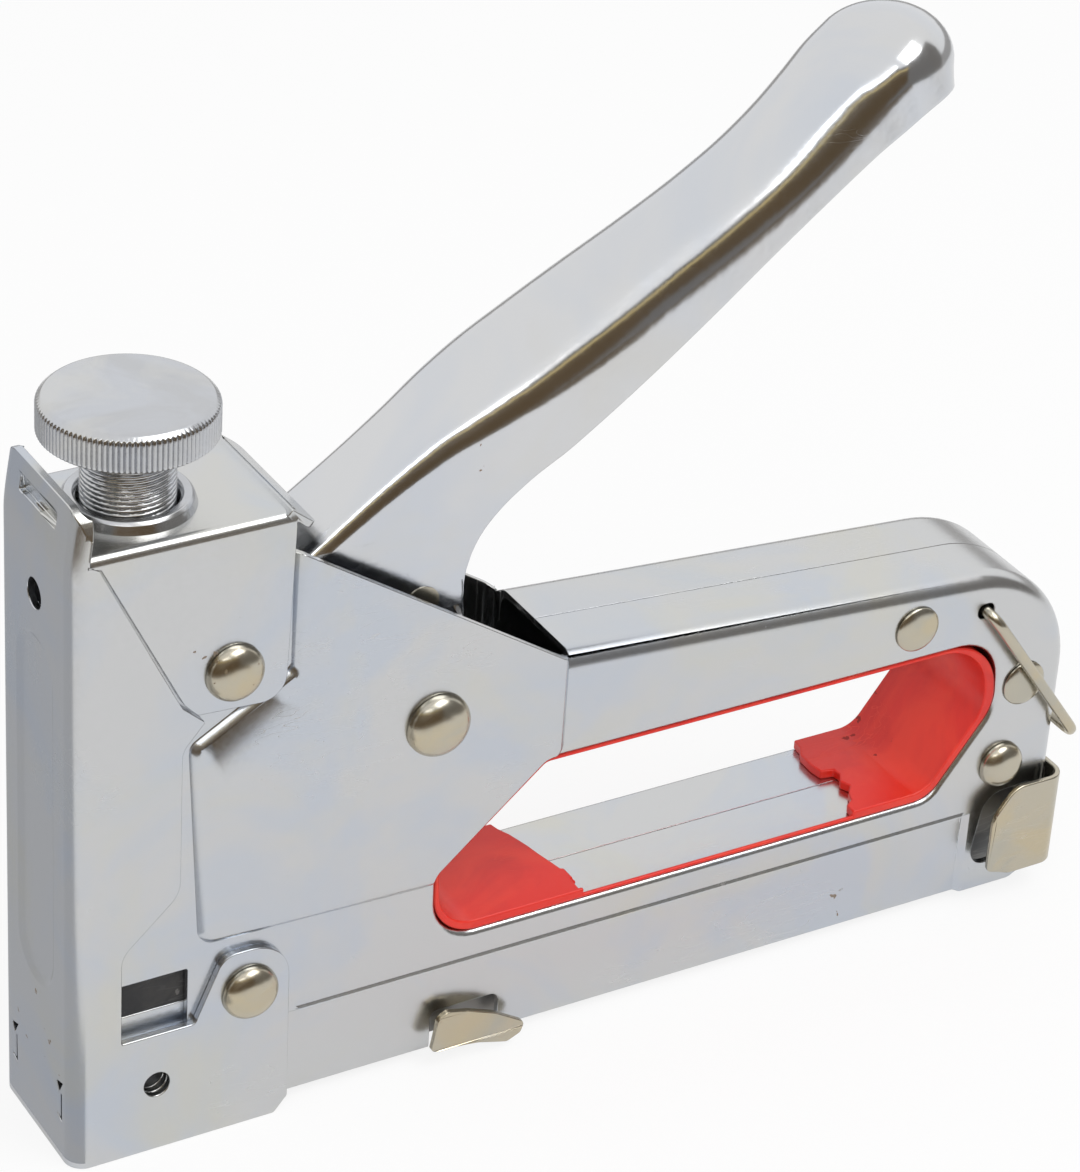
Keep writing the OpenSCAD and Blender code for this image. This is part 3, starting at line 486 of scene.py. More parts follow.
def makeCover():
    t, w, top = body["sheet"], body["halfWidth"], cover["tabTop"]
    sheet = bentSheet(body["noseLength"] + 1, w, cover["bend"], t, 0, 118)
    half = [[15, -2, 0], [15, 104, 0], [w + 0.3, 106, 1], [cover["tabWidth"] / 2, top, 3.8]]
    face = frontPrism(outline(half + [[-y, z, r] for y, z, r in half[::-1]]), -3, 50)
    sheet = combine("INTERSECT", sheet, sidePrism(outline(cover["flank"])))
    sheet = combine("INTERSECT", sheet, face)
    # the recess sinks by an S from its edge inwards
    wide, run = cover["recessEdge"]
    recess = lofted([frontRing(outline(cover["recess"], wide, 10), -1)]
                    + [frontRing(outline(cover["recess"], run * f + wide, 10),
                                 -0.02 + cover["recessDepth"] * softStep(f)) for f in np.linspace(0, 1, 9)])
    low = cover["slot"][0][1]
    slot = pushed(frontPrism(outline(cover["slot"]), -2, 0.95), 0,
                  lambda v: np.where(v[:, 0] > 0, (low - v[:, 2]) * cover["slotTaper"], 0))
    cuts = [recess, frontPrism(circlePoints(*cover["hole"], 40), -2, 6), slot,
            frontPrism(outline(cover["notch"]), -2, 6)]
    cuts += [frontPrism(outline([[y + dy, z, r] for dy, z, r in lance]), -2, 3)
             for y in cover["lancePlaces"] for lance in cover["lances"]]
    cuts.append(sidePrism(circlePoints(*cover["pinHole"])))
    sheet = combine("DIFFERENCE", sheet, *cuts)
    # the tongue under the slot: flush on the far side of its crease, bent inwards on the near side
    bent = pushed(frontPrism(outline(cover["tongueBent"]), 0.02, 1.1), 0,
                  lambda v: (cover["tongueCrease"] - v[:, 1]) * cover["tongueBend"])
    sheet = combine("UNION", sheet, bent, frontPrism(outline(cover["tongueFlat"]), 0, 1.1))
    sheet = sliced(sheet, np.arange(cover["leanFrom"] - 0.4, top, 0.6))

    def lean(v):
        # the tab leans back: x grows with the height h above the bend by h - e(1 - exp(-h / e))
        h, e = np.clip(v[:, 2] - cover["leanFrom"], 0, None), cover["leanEase"]
        return cover["lean"] * (h - e * (1 - np.exp(-h / e)))
    return pushed(sheet, 0, lean)


place(makeCover(), "frontCover", ["front_cover"], 0.14, 32)

# top cap: a bracket folded over the top, with a short tongue behind
cap = {
    "top": 104.4, "bend": 1.5, "front": 2.4, "rear": 34.3, "lip": 4.2, "lipWidth": 25.0, "lipDrop": 38.0,
    "bushHole": (14.2, 0, 8.3), "rivetHole": (24.9, 81.3, 2),
    "flap": [[19.4, 75, 1], [33.2, 74.3, 4], [34.3, 105, 0], [2.4, 105, 0], [2.4, 102.8, 0], [4.4, 102.4, 0.3],
             [17.2, 77.3, 1.5]],
}


def makeCap():
    # the folded section, drawn across the width, carried backwards and trimmed by the flap's outline
    w, top, t = body["halfWidth"], cap["top"], body["sheet"]

    def fold(k):
        return outline([[k - w, 60 + k, 0], [w - k, 60 + k, 0], [w - k, top - k, cap["bend"] - k],
                        [k - w, top - k, cap["bend"] - k]])
    bracket = frontPrism(fold(0), cap["front"], cap["rear"])
    inside = frontPrism(fold(t) - [0, 5], cap["front"] - 1, cap["rear"] + 1)
    bracket = combine("DIFFERENCE", bracket, inside)
    bracket = combine("INTERSECT", bracket, sidePrism(outline(cap["flap"])))
    k = cap["lipWidth"] / 2
    lip = topPrism(outline([[-1, -k, 0], [cap["lip"], -k, 1.6], [cap["lip"], k, 1.6], [-1, k, 0]]), -t, 0)
    c, s = math.cos(math.radians(cap["lipDrop"])), math.sin(math.radians(cap["lipDrop"]))
    moved(lip, lambda v: np.stack([cap["rear"] - 0.1 + v[:, 0] * c + v[:, 2] * s, v[:, 1],
                                   top + v[:, 2] * c - v[:, 0] * s], 1))
    bracket = combine("UNION", bracket, lip)
    return combine("DIFFERENCE", bracket, topPrism(circlePoints(*cap["bushHole"], 64), 90, 110),
                   sidePrism(circlePoints(*cap["rivetHole"])))


place(makeCap(), "topCap", ["top_cap"], 0.14, 32)
print("cover and cap made")


# turned pieces: knob, bush and rivets
def turnedForm(profile, count, radius=None, ring=False):
    # a profile [r, z] turned round the z axis, closed by flat ends or, for a ring, back to its start;
    # radius may change r by angle and height
    p = np.asarray(profile, float)
    a = np.arange(count) * 2 * np.pi / count
    r = p[:, 0][:, None] * np.ones(count)
    if radius is not None:
        r = radius(r, a[None, :], p[:, 1][:, None])
    v = np.stack([r * np.cos(a), r * np.sin(a), p[:, 1][:, None] * np.ones(count)], -1).reshape(-1, 3)
    n = len(p)
    ends = [list(range(count))[::-1], list(range((n - 1) * count, n * count))]
    if ring:
        j = np.arange(count)
        last, k = (n - 1) * count, (j + 1) % count
        ends = np.stack([last + j, last + k, k, j], 1).tolist()
    return form(v, gridQuads(n, count).tolist() + ends)


def roundedProfile(points, steps=5):
    # an open profile whose inner corners [r, z, radius] are rounded
    pts = [points[0][:2]]
    for before, corner, after in zip(points, points[1:], points[2:]):
        if corner[2] == 0:
            pts.append(corner[:2])
            continue
        tri = np.array([before[:2], corner[:2], after[:2]], float)
        a, b = (tri[0] - tri[1]), (tri[2] - tri[1])
        a, b = a / np.linalg.norm(a), b / np.linalg.norm(b)
        half = math.acos(max(-1, min(1, a @ b))) / 2
        reach = corner[2] / math.tan(half)
        t = np.linspace(0, 1, steps + 1)[:, None]
        p, q = tri[1] + a * reach, tri[1] + b * reach
        pts += list((1 - t)**2 * p + 2 * t * (1 - t) * tri[1] + t**2 * q)
    pts.append(points[-1][:2])
    return np.array(pts)


knob = {
    "x": 14.2, "low": 115.3, "height": 6.0, "radius": 12.8, "ribs": 104, "groove": 0.3,
    "threadRadius": 6.8, "threadDepth": 0.36, "pitch": 1.5, "starts": 2, "stemLow": 90.0,
}


def makeKnob():
    # head: a turned profile whose rim is fluted, r less a rounded groove for each rib, fading at the
    # shoulder; stem: r less a rounded ridge wave of height minus turn times pitch
    z, h, edge = knob["low"], knob["height"], knob["radius"]
    rim = roundedProfile([[5, z, 0], [edge - 1.0, z, 0.25], [edge, z + 0.6, 0.3], [edge, z + h - 0.9, 1.0],
                          [edge - 1.0, z + h - 0.05, 0.9], [0.05, z + h, 0]], 8)
    zs = np.linspace(z + 0.7, z + h - 1.3, 12)
    rim = np.concatenate([rim[rim[:, 1] < z + 0.69], np.stack([np.full(12, edge), zs], 1),
                          rim[rim[:, 1] > z + h - 1.29]])

    def flute(r, a, height):
        wave = np.abs(np.sin(a * knob["ribs"] / 2)) ** 0.8
        fade = np.clip((z + h - 0.55 - height) / 0.5, 0, 1) * np.clip((r - edge + 1.0) / 0.6, 0, 1)
        return r - knob["groove"] * (1 - wave) * fade

    def thread(r, a, height):
        turn = knob["starts"] * (height / knob["pitch"] - a / (2 * np.pi)) % 1
        fade = np.clip((height - knob["stemLow"]) / 1.5, 0, 1)
        return r - knob["threadDepth"] * (1 - np.sin(np.pi * turn) ** 0.7) * fade
    rows = int((z + 1 - knob["stemLow"]) / 0.09)
    shaft = np.stack([np.full(rows, knob["threadRadius"]), np.linspace(knob["stemLow"], z + 1, rows)], 1)
    pieces = turnedForm(rim, knob["ribs"] * 8, flute), turnedForm(shaft, 72, thread)
    return [pushed(piece, 0, lambda v: knob["x"]) for piece in pieces]


head, stem = makeKnob()
place(head, "knobHead", ["adjusting_knob"], 0, 40)
place(stem, "knobStem", ["adjusting_knob"], 0, 60)

bush = {"bore": 6.95, "shank": 8.2, "ring": 9.3, "top": 2.2, "low": 98.3, "seat": 104.2}


def makeBush():
    # a shank in the cap under a raised, rounded ring
    bore, shank, ring, low, seat = (bush[key] for key in ("bore", "shank", "ring", "low", "seat"))
    top = body["capTop"] + bush["top"]
    collar = roundedProfile([[bore + 1.3, low, 0], [shank, low, 0.1], [shank, seat, 0], [ring + 0.5, seat, 0],
                             [ring, top - 0.55, 0.5], [ring - 0.5, top, 0.4], [7.8, top - 0.1, 0.2],
                             [7.3, top - 0.7, 0.1], [bore, top - 2.6, 0], [bore, low, 0]], 4)
    return pushed(turnedForm(collar, 72, ring=True), 0, lambda v: knob["x"])


place(makeBush(), "threadedBush", ["threaded_bush"], 0, 40)

# each set: its node, the level its shanks reach in to, and its heads [x, z, radius, height, level]
rivets = {
    "capRivets": ("cap_rivets", backLevel, [(24.9, 80.9, 4.5, 2.6, 12.6)]),
    "frontRivets": ("front_rivets", backLevel, [(28.6, 24.3, 4.5, 2.6, 12.6)]),
    "rearRivets": ("rear_rivets", backLevel, [(144.8, 56.6, 3.9, 1.2, 11.4), (167.5, 40.7, 3.9, 1.0, 11.4),
                                              (164.9, 25.9, 4, 2.6, 11.4)]),
    "armRivet": ("arm_rivet", 0.0, [(57.3, 81.5, 2.7, 0.29, 7.96)]),
    "pivotPin": ("handle_pivot_pin", 0.0, [(58.3, 63.1, 5.15, 3.0, 12.6)]),
}


def rivetHead(x, z, radius, h, level, inner):
    # a crowned head: height h (1 - (r / radius)^2.6)^0.55 over a short upright rim, on a thinner shank
    r = radius * np.sin(np.linspace(0, np.pi / 2, 18))
    crown = h * (1 - (r / radius) ** 2.6) ** 0.55
    crown = 0.28 + (h - 0.28) * crown / h
    under = [[radius * 0.5, inner - level], [radius * 0.5, 0.0], [radius - 0.45, 0.02], [radius - 0.1, 0.1],
             [radius, 0.2]]
    profile = np.concatenate([under, np.stack([r, crown], 1)[::-1][:-1], [[0.03, h]]])
    head = turnedForm(profile, 56)
    return moved(head, lambda v: np.stack([x + v[:, 0], -level - v[:, 2], z + v[:, 1]], 1))


def joined(solids):
    # several working solids as one, each left whole
    verts, faces = [], []
    for solid in solids:
        start = len(verts)
        verts += [list(v.co) for v in solid.data.vertices]
        faces += [[i + start for i in p.vertices] for p in solid.data.polygons]
        bpy.data.objects.remove(solid)
    return form(verts, faces)


for name, (node, inner, heads) in rivets.items():
    near = [rivetHead(*head, inner) for head in heads]
    place(joined(near + [mirrored(p) for p in near]), name, [node], 0, 50)
print("knob, bush and rivets made")


# handle: a channel drawn from sheet, its end round in plan, its walls run down to cheeks at the pivot
handle = {
    "sheet": 1.5, "crown": 0.35, "cheekY": 8.2, "tipReach": 12.3, "tipBend": 3.0, "tipTurn": 38.0,
    "tipSag": 0.008, "tipDepth": -1.6,
    # along the top: [x, z, half width, bend radius]
    "spine": [[37.5, 92.8, 8, 2.4], [41, 95.4, 8, 2.6], [50, 101.9, 8.1, 3.2], [57, 106.9, 8.8, 4],
              [63, 111, 10, 4.8], [69, 115, 10.8, 5.8], [76, 119.3, 11, 6.7], [85, 124.5, 10.9, 7.2],
              [95, 130.2, 10.4, 7.4],
              [105, 136, 10.2, 7.4], [112, 140.6, 10.2, 7.2], [117, 144.6, 10.3, 7.0], [121, 148.2, 10.5, 6.7],
              [125, 151.9, 10.8, 6.3], [129.5, 155.1, 11, 5.8]],
    # the wall's lower edge: [place along the top, x, z]
    "low": [[37.5, 38.5, 88], [39.5, 41.5, 84], [41.5, 45.5, 76], [43.5, 48.6, 66], [46, 50.5, 58.5], [48.5, 55, 55],
            [51, 60.5, 55], [53.2, 65, 58.5], [55, 66.2, 64], [58, 64.9, 72], [60.6, 63.9, 79], [62.8, 64.2, 84.5],
            [65.6, 65.6, 90], [69, 68.4, 95], [73, 72.7, 99.4], [78, 79, 103.5], [85, 88.5, 110], [95, 101, 119],
            [105, 112, 127.7], [114, 121.5, 135.2], [121, 128.5, 140.8], [129.5, 134.5, 145.3]],
}


def makeHandle(along=124, fan=36, flatRows=6, bendRows=12, wallRows=8):
    # columns leave the spine to the near side, then fan round the end; down each column the surface is
    # level out to the bend, turns through an arc, and runs straight to the wall's lower edge
    spine, low = np.array(handle["spine"]), np.array(handle["low"])
    x = np.linspace(spine[0, 0], spine[-1, 0], along)
    z, w, r = hermite(spine[:, 0], spine[:, 1:], x).T
    t = np.stack([np.ones(along), np.gradient(z, x)], 1)
    t /= np.linalg.norm(t, axis=1)[:, None]
    ends = hermite(low[:, 0], low[:, 1:], x)
    phi = np.linspace(0, np.pi / 2, fan + 1)[1:]
    k = np.concatenate([np.zeros(along), np.sin(phi) ** 2])
    forward = np.concatenate([np.zeros(along), np.sin(phi)])
    aside = np.concatenate([np.ones(along), np.cos(phi)])

    def fanned(a):
        return np.concatenate([a, np.repeat(a[-1:], fan, 0)])
    x, z, w, r, t = (fanned(a) for a in (x, z, w, r, t))
    n = np.stack([-t[:, 1], t[:, 0]], 1)
    w = w + (handle["tipReach"] - w[-1]) * k
    r = r + handle["tipBend"] * k
    turn = np.radians(90 + handle["tipTurn"] * k)
    flat = np.linspace(0, 1, flatRows) * (w - r)[:, None]
    sag = handle["crown"] / w ** 2 + handle["tipSag"] * k
    drop = sag[:, None] * flat ** 2
    start = np.arctan(2 * sag * (w - r))[:, None]
    angle = start + (turn[:, None] - start) * np.linspace(0, 1, bendRows + 1)[1:]
    out = np.concatenate([flat, (w - r)[:, None] + r[:, None] * (np.sin(angle) - np.sin(start))], 1)
    down = np.concatenate([drop, drop[:, -1:] + r[:, None] * (np.cos(start) - np.cos(angle))], 1)

    def placed(out, down):
        ahead = out * forward[:, None]
        return np.stack([x[:, None] + ahead * t[:, :1] - down * n[:, :1], -out * aside[:, None],
                         z[:, None] + ahead * t[:, 1:] - down * n[:, 1:]], -1)
    top = placed(out, down)
    bendEnd = top[:, -1]
    y = handle["cheekY"] + softStep(np.clip((ends[:, 1] - 84) / 20, 0, 1)) * (w[:along] - handle["cheekY"])
    foot = np.stack([ends[:, 0], -y, ends[:, 1]], 1)
    first = foot[-1] - bendEnd[along - 1]
    length = np.linalg.norm(first)
    ahead = np.stack([forward * np.cos(turn) * t[:, 0] - np.sin(turn) * n[:, 0], -aside * np.cos(turn),
                      forward * np.cos(turn) * t[:, 1] - np.sin(turn) * n[:, 1]], 1)[along:]
    kTip = k[along:, None]
    ahead = first / length * (1 - kTip) + ahead * kTip
    ahead /= np.linalg.norm(ahead, axis=1)[:, None]
    foot = np.concatenate([foot, bendEnd[along:] + ahead * (length + handle["tipDepth"] * kTip)])
    q = np.linspace(0, 1, wallRows + 1)[None, 1:, None]
    near = np.concatenate([top, bendEnd[:, None] * (1 - q) + foot[:, None] * q], 1)
    whole = np.concatenate([near, near[-2::-1] * [1, -1, 1]])
    return form(whole.reshape(-1, 3), gridQuads(len(whole), whole.shape[1], closed=False).tolist())


handlePiece = place(makeHandle(), "handle", ["lever_handle"], 0, 50)
wall = handlePiece.modifiers.new("sheet", "SOLIDIFY")
wall.thickness = handle["sheet"] * mm
wall.offset = -1
roundEdges(handlePiece, 0.22, 50)
print("handle made")


# liner of the finger opening: a ring of plastic, torn off where the lower bar shows
liner = {
    "halfWidth": 10.9,
    "outer": [[60.5, 22.4, 7.6], [151.5, 22.4, 6], [162.5, 37.4, 8], [161.5, 50.4, 10], [78.1, 50.4, 2],
              [60.3, 34.8, 2]],
    "inner": [[61.7, 24.0, 6.5], [150.8, 24.0, 5], [160.6, 37.3, 8], [159.8, 49.7, 9], [78.6, 49.7, 2],
              [60.9, 34.4, 2]],
    # the torn ends of the gap over the lower bar: [x, y]
    "tornFront": [[86.4, -10.2], [86.5, -7.6], [87.7, -7.3], [87.5, -4.8], [86.5, -4.4], [86.0, -2], [85.4, 0.6],
                  [85.0, 3], [84.5, 5], [83.9, 7.2], [83.0, 9.2], [82.4, 12]],
    "tornRear": [[139.8, 12], [139.5, 8.7], [138.4, 6.8], [138.3, 3.5], [138.7, 1.2], [140.9, 0.8], [141.1, -0.6],
                 [140.0, -2.4], [140.8, -4.2], [139.4, -5.8], [138.6, -7.8], [137.2, -8.6], [137.0, -10.2]],
}


def makeLiner():
    level = liner["halfWidth"]
    ring = sidePrism(outline(liner["outer"], 0, 14), -level, level)
    bore = sidePrism(outline(liner["inner"], 0, 14), -20, 20)
    gap = topPrism(np.array(liner["tornRear"][::-1] + liner["tornFront"][::-1]), 20, 26)
    thin = topPrism(np.array([[87, -13.0], [137, -13.0], [137, 12], [87, 12]]), 23.0, 26)
    return combine("DIFFERENCE", ring, bore, gap, thin)


place(makeLiner(), "gripLiner", ["grip_liner"], 0.25, 40)
print("liner made")


# wire and sheet fittings
def tubeForm(path, across, width, height, count=12):
    # an oval section carried along a path: half width along the given side direction, half height
    # along the path's direction crossed with it
    ahead = np.gradient(path, axis=0)
    ahead /= np.linalg.norm(ahead, axis=1)[:, None]
    side = across - np.sum(across * ahead, 1)[:, None] * ahead
    side /= np.linalg.norm(side, axis=1)[:, None]
    up = np.cross(ahead, side)
    a = np.arange(count) * 2 * np.pi / count
    rings = path[:, None] + width * np.cos(a)[:, None] * side[:, None] + height * np.sin(a)[:, None] * up[:, None]
    return lofted(list(rings))


bail = {"x": 158.1, "z": 56.5, "length": 33.6, "rest": -54.0, "y": 13.9, "bend": 2.8, "width": 0.95, "height": 0.85}


def makeBail():
    # a U of wire drawn in its own plane (along the leg, across the body), then turned to its rest angle
    y, b, far = bail["y"], bail["bend"], bail["length"]
    leg = np.concatenate([[[0, -9.2]], arcPoints(b, b - y, b, 180, 270), [[far * 0.4, -y], [far * 0.7, -y]],
                          arcPoints(far - b, b - y, b, 270, 360), [[far, -3]]])
    flat = np.concatenate([leg, leg[::-1] * [1, -1]])
    c, s = math.cos(math.radians(bail["rest"])), math.sin(math.radians(bail["rest"]))
    path = np.stack([bail["x"] + flat[:, 0] * c, flat[:, 1], bail["z"] + flat[:, 0] * s], 1)
    across = np.tile([-s, 0, c], (len(path), 1))
    return tubeForm(path, across, bail["width"], bail["height"], 14)


place(makeBail(), "wireBail", ["bail"], 0, 60)

latch = {
    "rear": 177.0, "earY": 14.5, "bend": 3.2, "sheet": 0.9, "flare": 0.7, "flareFrom": 168.5,
    "side": [[162.3, 7.4, 1.6], [167.4, 5.3, 2], [179, 5.4, 0], [179, 22.2, 0], [166.8, 22.3, 4], [162.3, 17.6, 4.5]],
}


def makeLatch():
    # the sheet bent to a U open to the front, its ears cut to shape, their front edges flared outwards
    x, y, b, t = latch["rear"], latch["earY"], latch["bend"], latch["sheet"]
    k = np.linspace(159, x - b, 12)

    def path(inset):
        run = np.stack([k, np.full(12, inset - y)], 1)
        half = np.concatenate([run, arcPoints(x - b, b - y, b - inset, -90, 0)])
        return np.concatenate([half, half[::-1] * [1, -1]])
    sheet = topPrism(np.concatenate([path(0), path(t)[::-1]]), 4, 24)
    sheet = combine("INTERSECT", sheet, sidePrism(outline(latch["side"])))
    return pushed(sheet, 1, lambda v: (np.sign(v[:, 1]) * latch["flare"]
                                       * np.clip((latch["flareFrom"] - v[:, 0]) / 6, 0, 1.2) ** 2))


place(makeLatch(), "rearLatch", ["rear_latch"], 0.2, 35)

clip = {
    "earY": 13.0, "sheet": 1.0,
    "leaf": [[59.6, 3.5, 0.6], [61.1, 3.0, 1], [64.4, 3.2, 3], [67.8, 2.8, 4], [73.0, 1.2, 1], [75.4, 2.2, 1],
             [76.1, 4.0, 1], [70.9, 7.2, 8], [66.4, 8.8, 4], [62.6, 9.5, 1.6], [60.9, 8.7, 1.4]],
    # the strap under the rail, drawn across the width, and where it runs from and to
    "strap": [[-13.6, 4.6, 0], [-13.6, 3.6, 0], [-10.8, 0.9, 1], [10.8, 0.9, 1], [13.6, 3.6, 0], [13.6, 4.6, 0],
              [13.1, 4.6, 0], [10.4, 1.7, 0.5], [-10.4, 1.7, 0.5], [-13.1, 4.6, 0]],
    "strapRun": (64.6, 68.4),
}


def makeClip():
    # a leaf on each side, curled so that its upper edge leans towards the skirt, joined under the rail
    t = clip["sheet"]
    leaf = sliced(sidePrism(outline(clip["leaf"]), clip["earY"], clip["earY"] + t), np.arange(1.6, 9.4, 0.6))
    pushed(leaf, 1, lambda v: 0.022 * (v[:, 2] - 3) ** 2 + 0.004 * (v[:, 0] - 68) ** 2)
    return combine("UNION", leaf, mirrored(leaf), frontPrism(outline(clip["strap"]), *clip["strapRun"]))


place(makeClip(), "railClip", ["rail_clip"], 0.12, 50)

springs = {
    "main": {"radius": 5.5, "wire": 1.0, "turns": 9, "low": 39.1, "high": 88.0, "x": 14.2, "keep": 0.5685},
    "pusher": {"radius": 2.1, "wire": 0.35, "turns": 44, "low": 20.75, "high": 176.5, "z": 8.5, "keep": 0.486},
}


def helixForm(radius, wire, turns, low, high, count=8):
    # a wire wound round the z axis at an even pitch
    a = np.linspace(0, turns, int(turns * 24) + 1)
    f = a / turns
    rise = low + wire + (high - low - 2 * wire) * f
    path = np.stack([radius * np.cos(2 * np.pi * a), radius * np.sin(2 * np.pi * a), rise], 1)
    across = path * [1, 1, 0]
    return tubeForm(path, across, wire, wire, count)


main = springs["main"]
coil = helixForm(main["radius"], main["wire"], main["turns"], main["low"], main["high"], 10)
mainSpring = place(pushed(coil, 0, lambda v: main["x"]), "mainSpring", ["main_spring"], 0, 60)
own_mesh(mainSpring)
feed = springs["pusher"]
coil = helixForm(feed["radius"], feed["wire"], feed["turns"], feed["low"], feed["high"], 6)
pusherSpring = place(moved(coil, lambda v: np.stack([v[:, 2], v[:, 0], feed["z"] + v[:, 1]], 1)),
                     "pusherSpring", ["pusher_spring"], 0, 60)
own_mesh(pusherSpring)
print("bail, latch, clip and springs made")

for node in ("nose_guide", "magazine_channel", "staple_rail", "lifting_arm", "driver_carriage",
             "driver_blade", "spring_seat", "push_rod", "pusher", "bumper_block"):
    refined(node)
refined("handle_return_spring", 0, 60)
print("inner pieces refined:", len(finished), "pieces in all")


# finishes: shared effects as node groups, then one look for each material slot
def addNode(tree, kind, inputs=None, **settings):
    # a shader node with its settings, each input given a value or linked to another node's socket
    node = tree.nodes.new("ShaderNode" + kind)
    for key, value in settings.items():
        setattr(node, key, value)
    for key, value in (inputs or {}).items():
        if isinstance(value, bpy.types.NodeSocket):
            tree.links.new(value, node.inputs[key])
        else:
            node.inputs[key].default_value = value
    return node


def mathNode(tree, operation, a, b=0.0):
    return addNode(tree, "Math", {0: a, 1: b}, operation=operation).outputs[0]


def noiseNode(tree, vector, scale, detail, **more):
    return addNode(tree, "TexNoise", {"Vector": vector, "Scale": scale, "Detail": detail, **more}).outputs


def mixColor(tree, share, a, b):
    return addNode(tree, "Mix", {0: share, 6: a, 7: b}, data_type="RGBA").outputs[2]


def newGroup(name, inputs, outputs):
    # an empty shader group with named sockets, its input and its output node
    group = bpy.data.node_groups.new(name, "ShaderNodeTree")
    for label, kind in inputs:
        group.interface.new_socket(label, in_out="INPUT", socket_type="NodeSocket" + kind)
    for label, kind in outputs:
        group.interface.new_socket(label, in_out="OUTPUT", socket_type="NodeSocket" + kind)
    return group, group.nodes.new("NodeGroupInput").outputs, group.nodes.new("NodeGroupOutput").inputs


def makeTint():
    # two broad noises lay a cool and a warm cast over the colour, as passivated plating has
    group, given, result = newGroup("platingTint", [("Vector", "Vector"), ("Color", "Color"), ("Cool", "Color"),
                                                    ("Warm", "Color"), ("Scale", "Float"), ("Amount", "Float")],
                                    [("Color", "Color")])
    color = given["Color"]
    for cast, seed, low in (("Cool", 0.0, 0.46), ("Warm", 7.3, 0.50)):
        shifted = addNode(group, "VectorMath", {0: given["Vector"], 1: (seed, seed, seed)}, operation="ADD")
        noise = noiseNode(group, shifted.outputs[0], given["Scale"], 4.0, Roughness=0.55, Distortion=0.8)
        mask = addNode(group, "MapRange", {"Value": noise[0], "From Min": low, "From Max": low + 0.16})
        color = mixColor(group, mathNode(group, "MULTIPLY", mask.outputs[0], given["Amount"]), color, given[cast])
    group.links.new(color, result["Color"])
    return group


def makeGrain():
    # fine noise for the sheet's surface, and a slow one for its slight waves
    group, given, result = newGroup("sheetGrain", [("Vector", "Vector"), ("Fine", "Float"), ("Wave", "Float")],
                                    [("Grain", "Float"), ("Height", "Float")])
    fine, wave, peel = (noiseNode(group, given["Vector"], scale, detail)[0] for scale, detail in
                        ((1400.0, 3.0), (85.0, 2.0), (520.0, 1.0)))
    total = mathNode(group, "ADD", mathNode(group, "MULTIPLY", peel, given["Fine"]),
                     mathNode(group, "MULTIPLY", wave, given["Wave"]))
    group.links.new(fine, result["Grain"])
    group.links.new(total, result["Height"])
    return group


def makeScuffs():
    # thin wandering lines where a stretched noise passes its middle, kept to a few areas
    group, given, result = newGroup("fineScuffs", [("Vector", "Vector"), ("Width", "Float"), ("Spread", "Float")],
                                    [("Mask", "Float")])
    lines = None
    for turn, seed in (((0.3, 0.5, 0.2), 0.0), ((1.2, -0.4, 0.9), 3.1)):
        turned = addNode(group, "Mapping", {"Vector": given["Vector"], "Rotation": turn,
                                                      "Location": (seed, seed, seed), "Scale": (1.0, 7.0, 7.0)})
        noise = noiseNode(group, turned.outputs[0], 42.0, 2.0)
        off = mathNode(group, "ABSOLUTE", mathNode(group, "SUBTRACT", noise[0], 0.5))
        line = mathNode(group, "LESS_THAN", off, given["Width"])
        lines = line if lines is None else mathNode(group, "MAXIMUM", lines, line)
    area = noiseNode(group, given["Vector"], 38.0, 3.0)
    where = addNode(group, "MapRange", {"Value": area[0], "From Min": given["Spread"],
                                                  "From Max": mathNode(group, "ADD", given["Spread"], 0.08)})
    group.links.new(mathNode(group, "MULTIPLY", lines, where.outputs[0]), result["Mask"])
    return group


def makeSpecks():
    # small ragged spots in a few of the cells of a random mesh, gathered where a slow noise is high
    group, given, result = newGroup("rustSpecks", [("Vector", "Vector"), ("Scale", "Float"), ("Size", "Float"),
                                                   ("Spread", "Float")], [("Mask", "Float")])
    warp = noiseNode(group, given["Vector"], 900.0, 3.0)
    shake = addNode(group, "VectorMath", {0: warp[1], 1: (0.0022, 0.0022, 0.0022)}, operation="MULTIPLY")
    vector = addNode(group, "VectorMath", {0: given["Vector"], 1: shake.outputs[0]}, operation="ADD")
    cells = addNode(group, "TexVoronoi", {"Vector": vector.outputs[0], "Scale": given["Scale"]})
    chance = addNode(group, "SeparateColor", {0: cells.outputs["Color"]})
    size = mathNode(group, "MULTIPLY", chance.outputs[0], given["Size"])
    spot = mathNode(group, "LESS_THAN", cells.outputs["Distance"], size)
    rare = mathNode(group, "GREATER_THAN", chance.outputs[1], 0.55)
    where = mathNode(group, "GREATER_THAN", noiseNode(group, given["Vector"], 30.0, 3.0)[0], given["Spread"])
    group.links.new(mathNode(group, "MULTIPLY", spot, mathNode(group, "MULTIPLY", rare, where)), result["Mask"])
    return group


effects = {"tint": makeTint(), "grain": makeGrain(), "scuffs": makeScuffs(), "specks": makeSpecks()}

